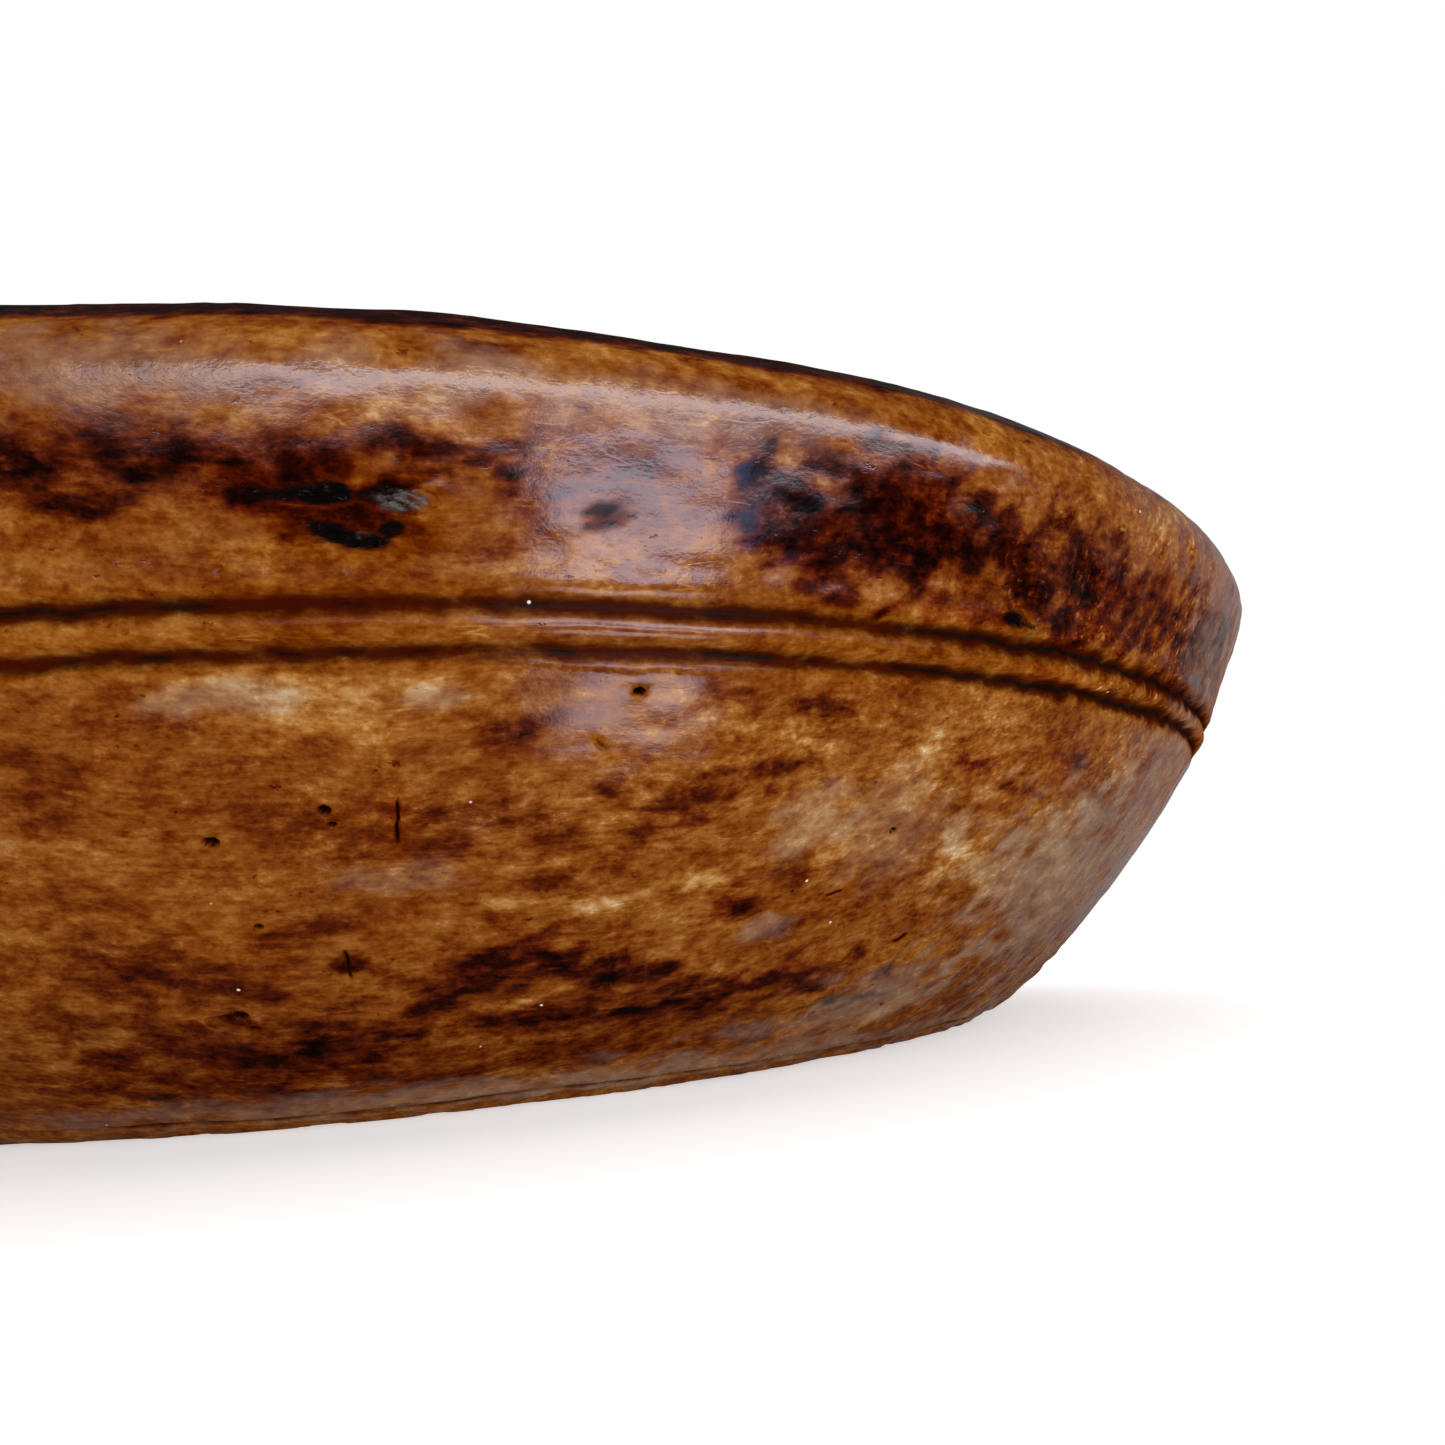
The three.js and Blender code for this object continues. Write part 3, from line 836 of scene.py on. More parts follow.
@dataclass
class TurnedBowl:
    """The bowl: one block of wood, turned all over, with its paint kept on its vertices."""

    wall: Wall
    paint: Paint
    front_turns: tuple = (-18.0, 56.0)
    front_step: float = 0.30
    back_step: float = 2.6
    plain_row: float = 1.05
    groove_row: float = 0.42
    inside_row: float = 4.6
    under_row: float = 9.0
    pole_gap: float = 3.0
    floor_reach: float = 100.0
    fine_reaches: tuple = (2.2, 1.1)

    def _turns(self) -> np.ndarray:
        """Azimuths of the grid's columns, close together at the front.

        Returns:
            The azimuths, in degrees.
        """
        start, end = self.front_turns
        front = np.arange(start, end, self.front_step)
        back = np.linspace(end, start + 360, int((start + 360 - end) / self.back_step), endpoint=False)
        return np.concatenate([front, back])

    def _rows(self) -> np.ndarray:
        """Arcs of the grid's rows: close together at the grooves, wider elsewhere.

        Returns:
            The arcs, in mm.
        """
        wall = self.wall
        top, foot_groove = wall.crest_arc, wall.foot_groove_arc + 2.6
        low_groove, high_groove = wall.groove_arc - 8.6, wall.groove_arc + 2.8
        floor, middle = wall.end_arc - self.floor_reach, wall.end_arc - self.pole_gap
        edges = [(wall.start_arc + 2, -15.5, self.under_row), (-15.5, -11.0, 0.9), (-11.0, -2.0, 3.0),
                 (-2.0, 2.6, 0.65), (2.6, foot_groove, self.groove_row),
                 (foot_groove, low_groove, self.plain_row), (low_groove, high_groove, self.groove_row),
                 (high_groove, top + 6, 0.95), (top + 6, top + 12, 2.0),
                 (top + 12, floor, self.inside_row), (floor, middle, 8.0)]
        rows = [np.linspace(low, high, max(2, round((high - low) / step)), endpoint=False)
                for low, high, step in edges]
        return np.concatenate([*rows, [middle]])

    def _grid(self) -> bpy.types.Object:
        """The closed grid, with the arc and turn of each vertex kept on it.

        Returns:
            The object, still without its cuts and its wear.
        """
        wall = self.wall
        rows, turns = self._rows(), self._turns()
        arc = np.repeat(rows, len(turns))
        turn = np.tile(turns, len(rows))
        arc = np.concatenate([[wall.start_arc], arc, [wall.end_arc]])
        turn = np.concatenate([[0.0], turn, [0.0]])
        sides = grid_faces(len(rows), len(turns), 1)
        under = pole_faces(0, 1, len(turns), True)
        floor = pole_faces(len(arc) - 1, 1 + (len(rows) - 1) * len(turns), len(turns), False)
        faces = sides.tolist() + under.tolist() + floor.tolist()
        piece = mesh_object("turned_bowl", wall.lifted(arc, turn, np.zeros_like(arc)), faces)
        write_attribute(piece.data, "arc", arc)
        write_attribute(piece.data, "turn", turn)
        return piece

    def _refine(self, piece: bpy.types.Object, reach: float) -> None:
        """Halves the faces near the knots, holes and checks, so that their edges come out sharp.

        Args:
            piece: The bowl.
            reach: How far round each mark the faces are halved, in mm.
        """
        wall = self.wall
        body = bmesh.new()
        body.from_mesh(piece.data)
        arc = read_attribute(piece.data, "arc")
        turn = read_attribute(piece.data, "turn")
        close = np.zeros(len(arc), bool)
        for mark in (wall.knot, wall.pitch, wall.pin_knot, *wall.beetle_holes, *wall.checks):
            across, up = wall.local(arc, turn, mark)
            close |= (np.abs(across) < mark.across + reach) & (np.abs(up) < mark.up + reach)
        body.verts.ensure_lookup_table()
        chosen = set(np.flatnonzero(close).tolist())
        edges = [edge for edge in body.edges
                 if edge.verts[0].index in chosen and edge.verts[1].index in chosen]
        bmesh.ops.subdivide_edges(body, edges=edges, cuts=1, use_grid_fill=True)
        body.to_mesh(piece.data)
        body.free()

    def build(self) -> bpy.types.Object:
        """Makes the bowl's mesh, shapes it by the wall's formula and lays the paint on it.

        Returns:
            The bowl.
        """
        piece = self._grid()
        for reach in self.fine_reaches:
            self._refine(piece, reach)
        mesh = piece.data
        arc, turn = read_attribute(mesh, "arc"), read_attribute(mesh, "turn")
        points = self.wall.surface(arc, turn)
        mesh.vertices.foreach_set("co", (points * MM).astype(np.float32).ravel())
        for paint_layer, values in self.paint.laid(self.wall, arc, turn).items():
            write_attribute(mesh, paint_layer.value, values)
        mesh.shade_smooth()
        mesh.update()
        return piece


@dataclass
class Inlay:
    """A dead knot, its ring of bark or a lump of pitch, lying flush in its pocket in the wall.

    Its points are a closed loop carried round an outline. The loop starts at the inner edge, runs
    across the top, down the outer wall and back underneath. Share 0 is the inner edge or the
    middle, share 1 the outline. Its own relief fades out at the outline, where it meets the wall.
    """

    name: str
    wall: Wall
    mark: Mark
    outline: Callable[[np.ndarray], np.ndarray]
    relief: Callable[[np.ndarray, np.ndarray], np.ndarray]
    depth: float
    paint: Paint
    inner: Callable[[np.ndarray], np.ndarray] | None = None
    spokes: int = 96
    top_rows: int = 22
    proud: float = 0.03

    def build(self) -> bpy.types.Object:
        """Makes the piece's closed mesh in place.

        Returns:
            The piece, lying in its pocket.
        """
        angle = np.linspace(0, math.tau, self.spokes, endpoint=False)
        outer = self.outline(angle)
        centre = self.inner(angle) if self.inner else 0.02 * outer
        top = np.linspace(0, 1, self.top_rows)
        down = np.array([0.04, 0.28, 0.52, 0.76, 1.0])
        share = np.concatenate([top, np.ones(5), np.linspace(1, 0, 5)[1:], np.zeros(4)[:-1]])
        drop = np.concatenate([0 * top, down, np.ones(4), down[::-1][1:4]])
        taper = 1 - np.where(share > 0.5, 0.18, 0.0) * ease(drop, 0.0, 0.04)
        level = np.repeat(ease(share, 1.0, 0.72), self.spokes)
        places = centre[None] + share[:, None, None] * (outer - centre)[None]
        places = places * taper[:, None, None]
        across, up = places[..., 0].ravel(), places[..., 1].ravel()
        surface = np.repeat(drop == 0, self.spokes)
        middle = self.wall.arc_at(self.mark.height)
        arc = middle + up
        turn = self.mark.azimuth + np.degrees(across / self.wall.radius_at(middle))
        skin = self.wall.skin_lift(arc, turn)
        lift = skin + self.proud + level * self.relief(across, up)
        lift = np.where(surface, lift, lift - self.depth * np.repeat(drop, self.spokes))
        points = self.wall.lifted(arc, turn, lift)
        piece = self._meshed(points, len(share))
        piece.data.set_sharp_from_angle(angle=math.radians(50))
        for paint_layer, values in self.paint.laid(self.wall, arc, turn).items():
            write_attribute(piece.data, paint_layer.value, np.resize(values, len(piece.data.vertices)))
        return piece

    def _meshed(self, points: np.ndarray, rows: int) -> bpy.types.Object:
        """Joins the rows of points into a ring, or into a plug with both its poles closed.

        Args:
            points: The rows of points, one after another.
            rows: How many rows there are.

        Returns:
            The piece.
        """
        columns = self.spokes
        if self.inner:
            faces = grid_faces(rows, columns)
            last = np.arange(columns) + (rows - 1) * columns
            first = np.arange(columns)
            closing = np.stack([last, np.roll(last, -1), np.roll(first, -1), first], axis=-1)
            return mesh_object(self.name, points, faces[:, ::-1].tolist() + closing[:, ::-1].tolist())
        kept = rows - 3
        points = points[: kept * columns]
        poles = np.stack([points[:columns].mean(axis=0), points[-columns:].mean(axis=0)])
        count = len(points)
        points = np.concatenate([points, poles])
        faces = grid_faces(kept, columns)[:, ::-1].tolist()
        faces += pole_faces(count, 0, columns, False).tolist()
        faces += pole_faces(count + 1, (kept - 1) * columns, columns, True).tolist()
        return mesh_object(self.name, points, faces)


# ---------------------------------------------------------------- shader maths


class Signal:
    """A node's output, with arithmetic: each operator adds the Math node that it stands for."""

    def __init__(self, bench: "Bench", socket: bpy.types.NodeSocket) -> None:
        """Wraps one output socket of a node on a bench."""
        self.bench = bench
        self.socket = socket

    def __add__(self, other: "Signal | float") -> "Signal":
        """This plus other."""
        return self.bench.math("ADD", self, other)

    def __radd__(self, other: float) -> "Signal":
        """Other plus this."""
        return self.bench.math("ADD", other, self)

    def __sub__(self, other: "Signal | float") -> "Signal":
        """This less other."""
        return self.bench.math("SUBTRACT", self, other)

    def __rsub__(self, other: float) -> "Signal":
        """Other less this."""
        return self.bench.math("SUBTRACT", other, self)

    def __mul__(self, other: "Signal | float") -> "Signal":
        """This times other."""
        return self.bench.math("MULTIPLY", self, other)

    def __rmul__(self, other: float) -> "Signal":
        """Other times this."""
        return self.bench.math("MULTIPLY", other, self)

    def clipped(self) -> "Signal":
        """This, kept between 0 and 1."""
        settings = {"operation": "ADD", "use_clamp": True}
        held = self.bench.node("ShaderNodeMath", settings, {0: self, 1: 0.0})
        return Signal(self.bench, held.outputs[0])

    def size(self) -> "Signal":
        """This without its sign."""
        return self.bench.math("ABSOLUTE", self, 0.0)

    def wave(self) -> "Signal":
        """The sine of this, as an angle in radians."""
        return self.bench.math("SINE", self, 0.0)

    def eased(self, low: float, high: float) -> "Signal":
        """Smooth step: 0 at low and 1 at high; low above high turns the step round.

        Args:
            low: Where the step starts.
            high: Where it ends.

        Returns:
            The eased value.
        """
        turned = low > high
        values = {"Value": self, "From Min": min(low, high), "From Max": max(low, high),
                  "To Min": 1.0 if turned else 0.0, "To Max": 0.0 if turned else 1.0}
        step = self.bench.node("ShaderNodeMapRange", {"interpolation_type": "SMOOTHSTEP"}, values)
        return Signal(self.bench, step.outputs[0])


class Bench:
    """Adds nodes to one node tree, and holds the patterns that the finishes share."""

    def __init__(self, tree: bpy.types.NodeTree) -> None:
        """Clears the tree and starts afresh."""
        self.tree = tree
        tree.nodes.clear()

    def node(self, kind: str, settings: dict | None = None, inputs: dict | None = None) -> bpy.types.Node:
        """Adds a node.

        Args:
            kind: The node's type.
            settings: Its properties; stops are the places and colours of a ramp.
            inputs: A value, a colour, a Signal or a socket for each named or numbered input.

        Returns:
            The node.
        """
        made = self.tree.nodes.new(kind)
        for name, value in (settings or {}).items():
            if name == "stops":
                self._set_stops(made.color_ramp, value)
            else:
                setattr(made, name, value)
        for name, value in (inputs or {}).items():
            if isinstance(value, Signal):
                self.tree.links.new(value.socket, made.inputs[name])
            elif isinstance(value, bpy.types.NodeSocket):
                self.tree.links.new(value, made.inputs[name])
            else:
                made.inputs[name].default_value = value
        return made

    @staticmethod
    def _set_stops(ramp: bpy.types.ColorRamp, stops: tuple) -> None:
        """Gives a ramp its stops, each a place and a colour.

        Args:
            ramp: The ramp.
            stops: The places and colours.
        """
        while len(ramp.elements) < len(stops):
            ramp.elements.new(1.0)
        for element, (place, colour) in zip(ramp.elements, stops):
            element.position = place
            element.color = (*colour, 1.0)

    def math(self, operation: str, first: Signal | float, second: Signal | float) -> Signal:
        """A Math node's result."""
        made = self.node("ShaderNodeMath", {"operation": operation}, {0: first, 1: second})
        return Signal(self, made.outputs[0])

    def place_mm(self) -> bpy.types.NodeSocket:
        """Place on the object, in mm."""
        place = self.node("ShaderNodeTexCoord").outputs["Object"]
        return self.vector("SCALE", {0: place, "Scale": 1 / MM})

    def vector(self, operation: str, inputs: dict) -> bpy.types.NodeSocket:
        """A Vector Math node's first result."""
        return self.node("ShaderNodeVectorMath", {"operation": operation}, inputs).outputs[0]

    def length(self, place: bpy.types.NodeSocket) -> Signal:
        """Length of a vector."""
        made = self.node("ShaderNodeVectorMath", {"operation": "LENGTH"}, {0: place})
        return Signal(self, made.outputs["Value"])

    def stretched(self, place: bpy.types.NodeSocket, lengths: tuple, shift: tuple = (0, 0, 0),
                  turn: tuple = (0, 0, 0)) -> bpy.types.NodeSocket:
        """Place measured in units of a length along each axis, after a turn and a shift.

        Args:
            place: A place, in mm.
            lengths: A length along each axis, in mm.
            shift: How far the pattern is moved, in lengths.
            turn: How far it is turned about each axis, in radians.

        Returns:
            The place in lengths.
        """
        values = {"Vector": place, "Scale": tuple(1 / length for length in lengths),
                  "Location": shift, "Rotation": turn}
        return self.node("ShaderNodeMapping", None, values).outputs[0]

    def drifted(self, place: bpy.types.NodeSocket, size: float, reach: float) -> bpy.types.NodeSocket:
        """Place pushed about by a soft noise of a size, by up to about a reach, both in mm.

        Args:
            place: A place, in mm.
            size: Size of the noise.
            reach: How far it pushes.

        Returns:
            The pushed place, in mm.
        """
        push = self.node("ShaderNodeTexNoise", {"noise_dimensions": "3D"},
                         {"Vector": place, "Scale": 1 / size, "Detail": 1.0}).outputs["Color"]
        level = self.vector("SUBTRACT", {0: push, 1: (0.5, 0.5, 0.5)})
        return self.vector("ADD", {0: place, 1: self.vector("SCALE", {0: level, "Scale": 2 * reach})})

    def noise(self, place: bpy.types.NodeSocket, detail: float = 3.0, roughness: float = 0.55) -> Signal:
        """Cloudy noise spread to about -1 to 1, one unit of place to a cloud.

        Args:
            place: The place that the pattern is laid out on.
            detail: How many finer layers it has.
            roughness: How strong the finer layers are.

        Returns:
            The noise.
        """
        made = self.node("ShaderNodeTexNoise", {"noise_dimensions": "3D"},
                         {"Vector": place, "Scale": 1.0, "Detail": detail, "Roughness": roughness})
        return (Signal(self, made.outputs[0]) - 0.5) * 5.2

    def cells(self, place: bpy.types.NodeSocket) -> bpy.types.Node:
        """Cells round scattered points, about one to each unit of place."""
        return self.node("ShaderNodeTexVoronoi", {"feature": "F1"}, {"Vector": place, "Scale": 1.0})

    def kept(self, name: str) -> Signal:
        """A number kept on the mesh's vertices."""
        return Signal(self, self.node("ShaderNodeAttribute", {"attribute_name": name}).outputs["Fac"])

    def ramp(self, value: Signal, stops: tuple) -> bpy.types.NodeSocket:
        """Colour looked up along a ramp."""
        return self.node("ShaderNodeValToRGB", {"stops": stops}, {0: value}).outputs[0]

    def mixed(self, share: Signal | float, first: object, second: object,
              blend: str = "MIX") -> bpy.types.NodeSocket:
        """Two colours mixed by a share of the second.

        Args:
            share: Share of the second colour.
            first: First colour, or its socket.
            second: Second colour, or its socket.
            blend: How the two are blended.

        Returns:
            The mixed colour.
        """
        made = self.node("ShaderNodeMix", {"data_type": "RGBA", "blend_type": blend, "clamp_factor": True})
        for name, value in (("Factor_Float", share), ("A_Color", first), ("B_Color", second)):
            socket = next(s for s in made.inputs if s.identifier == name)
            if isinstance(value, Signal):
                self.tree.links.new(value.socket, socket)
            elif isinstance(value, bpy.types.NodeSocket):
                self.tree.links.new(value, socket)
            else:
                socket.default_value = (*value, 1.0) if isinstance(value, tuple) else value
        return next(s for s in made.outputs if s.identifier == "Result_Color")

    def relief(self, height: Signal, strength: float) -> bpy.types.NodeSocket:
        """Normal of a surface raised by a height in mm."""
        return self.node("ShaderNodeBump", None,
                         {"Strength": strength, "Distance": MM, "Height": height}).outputs[0]

    def surface(self, inputs: dict, matt: Signal | None = None) -> None:
        """Ends the tree in a Principled shader, mixed with a dead matt one of the same colour.

        Args:
            inputs: The Principled shader's inputs.
            matt: Share of the matt shader, if there is one.
        """
        shader = self.node("ShaderNodeBsdfPrincipled", None, inputs)
        output = self.node("ShaderNodeOutputMaterial")
        if matt:
            dead = self.node("ShaderNodeBsdfPrincipled", None,
                             {"Base Color": inputs["Base Color"], "Normal": inputs["Normal"],
                              "Roughness": 0.9, "Specular IOR Level": 0.0})
            sides = {0: matt, 1: shader.outputs[0], 2: dead.outputs[0]}
            shader = self.node("ShaderNodeMixShader", None, sides)
        self.tree.links.new(shader.outputs[0], output.inputs[0])


def new_material(name: str) -> tuple[bpy.types.Material, Bench]:
    """A material with an empty node tree, and the bench to fill it on.

    Args:
        name: Name of the material.

    Returns:
        The material and its bench.
    """
    material = bpy.data.materials.new(name)
    material.use_nodes = True
    return material, Bench(material.node_tree)


# ---------------------------------------------------------------- finishes


@dataclass(frozen=True)
class WaxedWood:
    """Old close-grained hardwood, oiled and waxed until it shines, with its grain along X."""

    name: str
    tones: tuple = (
        (0.0, (0.004, 0.0009, 0.0004)), (0.13, (0.021, 0.0020, 0.0002)), (0.27, (0.062, 0.0066, 0.0001)),
        (0.40, (0.120, 0.0215, 0.0004)), (0.52, (0.192, 0.053, 0.0042)), (0.64, (0.282, 0.104, 0.0150)),
        (0.76, (0.385, 0.192, 0.055)), (0.88, (0.50, 0.315, 0.150)), (1.0, (0.66, 0.48, 0.31)),
    )
    gold: Colour = (1.0, 0.90, 0.55)
    rust: Colour = (1.0, 0.66, 0.42)
    # Grey of dust, also laid as painted highlight on the shoulder and painted sheen on the right.
    dust_and_sheen_tint: Colour = (0.27, 0.195, 0.140)
    soot: Colour = (0.032, 0.0028, 0.0003)
    coal: Colour = (0.0028, 0.0018, 0.0018)
    # Painted glint: the white of the tiny specks that stand for light caught in small pits.
    painted_glint: Colour = (0.75, 0.66, 0.56)
    ash: Colour = (0.05, 0.038, 0.036)
    slate: Colour = (0.020, 0.0125, 0.0105)
    # Painted glint: the light grey that the pitch is mixed with.
    glint: Colour = (0.105, 0.088, 0.084)

    def material(self) -> bpy.types.Material:
        """Builds the finish from the wood's grain and from the paint kept on the piece.

        Returns:
            The material.
        """
        material, bench = new_material(self.name)
        skin = WaxedSkin(self, bench)
        bench.surface({"Base Color": skin.colour(), "Roughness": skin.roughness(),
                       "Specular IOR Level": 0.5, "Normal": bench.relief(skin.height(), 0.8)}, skin.matt())
        return material


class WaxedSkin:
    """The waxed wood's patterns and masks on one bench, and what they make of its colour and gloss."""

    grain = {
        "fibre": ((7.5, 0.62, 0.62), (0, 0, 0), 3.0, 0.6),
        "streak": ((19.0, 2.4, 2.1), (3.1, 0, 7.7), 3.0, 0.6),
        "cloud": ((30.0, 24.0, 17.0), (9.0, 2.0, 1.0), 2.0, 0.5),
        "mottle": ((4.0, 3.2, 2.7), (0.5, 4.0, 0.0), 4.0, 0.68),
        "crumb": ((1.5, 1.0, 0.95), (6.0, 0, 2.0), 3.0, 0.65),
        "lace": ((1.6, 1.0, 2.6), (0, 5.0, 0), 3.0, 0.62),
        "blotch": ((15.0, 8.0, 5.5), (2.0, 7.0, 3.0), 3.0, 0.6),
        "specks": ((2.6, 1.7, 1.5), (1, 2, 3), 3.0, 0.7),
        "figure": ((210.0, 21.0, 15.0), (3.0, 1.0, 0.5), 1.5, 0.45),
        "grit": ((1.3, 0.55, 0.5), (4, 4, 4), 3.0, 0.65),
    }

    def __init__(self, finish: WaxedWood, bench: Bench) -> None:
        """Lays out the noises, each with its lengths in mm, shift, detail and roughness, and the masks.

        Args:
            finish: The finish, which holds the colours.
            bench: The bench to fill.
        """
        self.finish = finish
        self.bench = bench
        self.place = bench.drifted(bench.place_mm(), 30.0, 2.2)
        self.kept = {paint_layer: bench.kept(paint_layer.value) for paint_layer in PaintLayer}
        self.noise = {name: bench.noise(bench.stretched(self.place, lengths, shift), detail, roughness)
                      for name, (lengths, shift, detail, roughness) in self.grain.items()}
        kept, noise = self.kept, self.noise
        mottle, streak, crumb, grit = (noise[name] for name in ("mottle", "streak", "crumb", "grit"))
        # dark: stains, and painted shade low on the belly and along the rim's top.
        self.dark = (kept[PaintLayer.DARK] * (1.0 - 0.26 * mottle - 0.18 * streak)).clipped()
        self.fleck = (noise["lace"] + 0.35 * crumb).eased(0.38, 0.95) * kept[PaintLayer.FLECK]
        self.pits = noise["specks"].eased(0.75, 1.25)
        # Grey layer: dust, with painted highlight on the shoulder and painted sheen on the right.
        self.dust_and_sheen = (kept[PaintLayer.GREY] * (1.0 + 0.4 * mottle)).clipped() * (1.0 - 0.6 * self.dark)
        self.dirt = (kept[PaintLayer.GRIME] * (1.0 - 0.2 * mottle - 0.12 * streak)).eased(0.1, 0.85)
        self.char = (kept[PaintLayer.CHAR] * (1.0 + 0.22 * crumb + 0.26 * grit)).eased(0.2, 0.9)
        self.resin = 0.85 * (kept[PaintLayer.PITCH] * (1.0 + 0.4 * grit + 0.2 * crumb)).eased(0.2, 1.0)
        self.line = self._lines()
        # Painted glints: tiny white specks.
        self.painted_glint = self._painted_glints()

    def tone(self) -> Signal:
        """Lightness of the bare wood, 0 to 1: its noises and growth rings, lighter where rubbed.

        Returns:
            One value for each place.
        """
        kept, noise = self.kept, self.noise
        pale = kept[PaintLayer.PALE] * (1.0 + 0.55 * noise["mottle"] + 0.25 * noise["streak"])
        tone = 0.50 + 0.04 * noise["cloud"] + 0.07 * noise["blotch"]
        tone = tone + 0.11 * noise["mottle"] + 0.075 * noise["crumb"]
        tone = tone + (0.04 * noise["streak"] + 0.035 * noise["fibre"]) * (1.0 - kept[PaintLayer.GREY])
        tone = tone + 0.22 * pale + 0.27 * self.fleck - 0.40 * self.dark
        growth = (noise["figure"] * 16.0).wave() * (0.7 + 0.3 * noise["streak"])
        tone = tone + (0.012 + 0.045 * kept[PaintLayer.INNER]) * growth
        tone = tone + 0.05 * kept[PaintLayer.INNER] * noise["blotch"]
        bare_pits = self.pits * (1.0 - self.dark)
        tone = tone - 0.2 * bare_pits - 0.16 * bare_pits * kept[PaintLayer.GREY]
        return (tone + 0.13 * self.line * (1.0 - kept[PaintLayer.INNER])).clipped()

    def colour(self) -> bpy.types.NodeSocket:
        """Colour: the tone looked up in the wood's own tones, then stained, greyed with dust, painted
        highlight and painted sheen, blackened, and dotted with painted glints.

        Returns:
            The finished colour.
        """
        bench, kept, finish = self.bench, self.kept, self.finish
        crumb, grit = self.noise["crumb"], self.noise["grit"]
        colour = bench.ramp(self.tone(), finish.tones)
        for share, tint in ((kept[PaintLayer.AMBER] * 0.85, finish.gold), (kept[PaintLayer.RED] * 0.9, finish.rust)):
            colour = bench.mixed(share, colour, bench.mixed(1.0, colour, tint, "MULTIPLY"))
        soot = bench.mixed(kept[PaintLayer.GRIME].eased(0.84, 1.0), finish.soot, finish.coal)
        bark = bench.mixed(grit.eased(0.5, 1.5), finish.coal, finish.ash)
        # The pitch: slate mixed by noise with a grey painted glint.
        pitch = bench.mixed((0.2 + 0.3 * grit + 0.25 * crumb).clipped(), finish.slate, finish.glint)
        # Layers over the wood: grey of dust, painted highlight and painted sheen; grime; char; pitch; then
        # the white painted glints.
        for share, layer in ((self.dust_and_sheen * 0.6, finish.dust_and_sheen_tint), (self.dirt * 0.97, soot), (self.char, bark),
                             (self.resin, pitch), (self.painted_glint, finish.painted_glint)):
            colour = bench.mixed(share, colour, layer)
        return colour

    def matt(self) -> Signal:
        """Share of the surface that has lost its shine to grime, dirt film or char.

        Returns:
            One value for each place.
        """
        clean = 1.0 - 0.95 * self.kept[PaintLayer.GRIME].eased(0.1, 0.5)
        clear = 1.0 - self.kept[PaintLayer.FILM] * (1.0 - 0.5 * self.resin)
        return 1.0 - clean * clear * (1.0 - 0.9 * self.char)

    def roughness(self) -> Signal:
        """Roughness of the wax: higher where it is worn, dirty or under the grey of dust and painted
        sheen, and inside the bowl.

        Returns:
            One value for each place.
        """
        mottle, crumb = self.noise["mottle"], self.noise["crumb"]
        worn = (0.6 * mottle + 0.5 * self.noise["blotch"] + 0.3 * crumb).eased(0.35, 1.0)
        rough = 0.15 + 0.02 * mottle + 0.12 * self.dust_and_sheen + 0.12 * worn + 0.2 * self.dirt
        rough = rough + 0.28 * self.kept[PaintLayer.INNER] + 0.02 * crumb - 0.06 * self.painted_glint
        return rough.clipped()

    def height(self) -> Signal:
        """Height of the finest relief, in mm.

        Returns:
            One value for each place.
        """
        crumb = self.noise["crumb"]
        height = 0.012 * self.noise["mottle"] + 0.007 * crumb + 0.0025 * self.noise["fibre"]
        height = height + 0.012 * self.fleck - 0.012 * self.line
        height = height + 0.06 * self.char * crumb + 0.05 * self.resin * self.noise["grit"]
        height = height - 0.03 * self.pits + 0.04 * self.dust_and_sheen * crumb
        return height + 0.05 * self.kept[PaintLayer.INNER] * self._tool_rings()

    def _lines(self) -> Signal:
        """Fine rubbed lines: where a stretched noise passes through its middle, broken by another.

        Returns:
            Strength of the lines, from 0 to 1.
        """
        bench = self.bench
        slanted = bench.stretched(self.place, (26.0, 4.0, 3.4), (2, 0, 5), (0, 0.16, 0))
        thread = bench.noise(slanted, 2.0, 0.5)
        where = bench.noise(bench.stretched(self.place, (9.0, 6.0, 5.0), (8, 8, 0)), 2.0, 0.5)
        return thread.size().eased(0.11, 0.0) * where.eased(0.3, 1.0)

    def _painted_glints(self) -> Signal:
        """Painted glints: a few tiny white specks, one in the middle of every fiftieth cell or so.

        Returns:
            Strength of the painted glints, from 0 to 1.
        """
        bench = self.bench
        cells = bench.cells(bench.stretched(self.place, (3.1, 3.1, 3.1)))
        parts = bench.node("ShaderNodeSeparateColor", None, {0: cells.outputs["Color"]})
        lot = Signal(bench, parts.outputs[0])
        middle = Signal(bench, cells.outputs["Distance"])
        return middle.eased(0.10, 0.05) * lot.eased(0.978, 0.982)

    def _tool_rings(self) -> Signal:
        """Turning marks: a sine of the distance from the axis, 3 mm to a ring."""
        flat = self.bench.vector("MULTIPLY", {0: self.bench.place_mm(), 1: (1.0, 1.0, 0.0)})
        return (self.bench.length(flat) * (math.tau / 3.0)).wave()


@dataclass(frozen=True)
class PlainFloor:
    """Plain pale studio floor, nearly white, whose glow grows away from the bowl."""

    colour: Colour = (0.86, 0.86, 0.86)
    glow: float = 0.72
    near: Colour = (0.72, 0.72, 0.73)
    far: Colour = (1.0, 1.0, 1.0)
    fade: tuple = (450.0, 1500.0)

    def material(self) -> bpy.types.Material:
        """Builds the finish.

        Returns:
            The material.
        """
        material, bench = new_material("plain_floor")
        light = bench.mixed(bench.length(bench.place_mm()).eased(*self.fade), self.near, self.far)
        bench.surface({"Base Color": (*self.colour, 1.0), "Roughness": 0.9, "Specular IOR Level": 0.0,
                       "Emission Color": light, "Emission Strength": self.glow})
        return material


# ---------------------------------------------------------------- studio


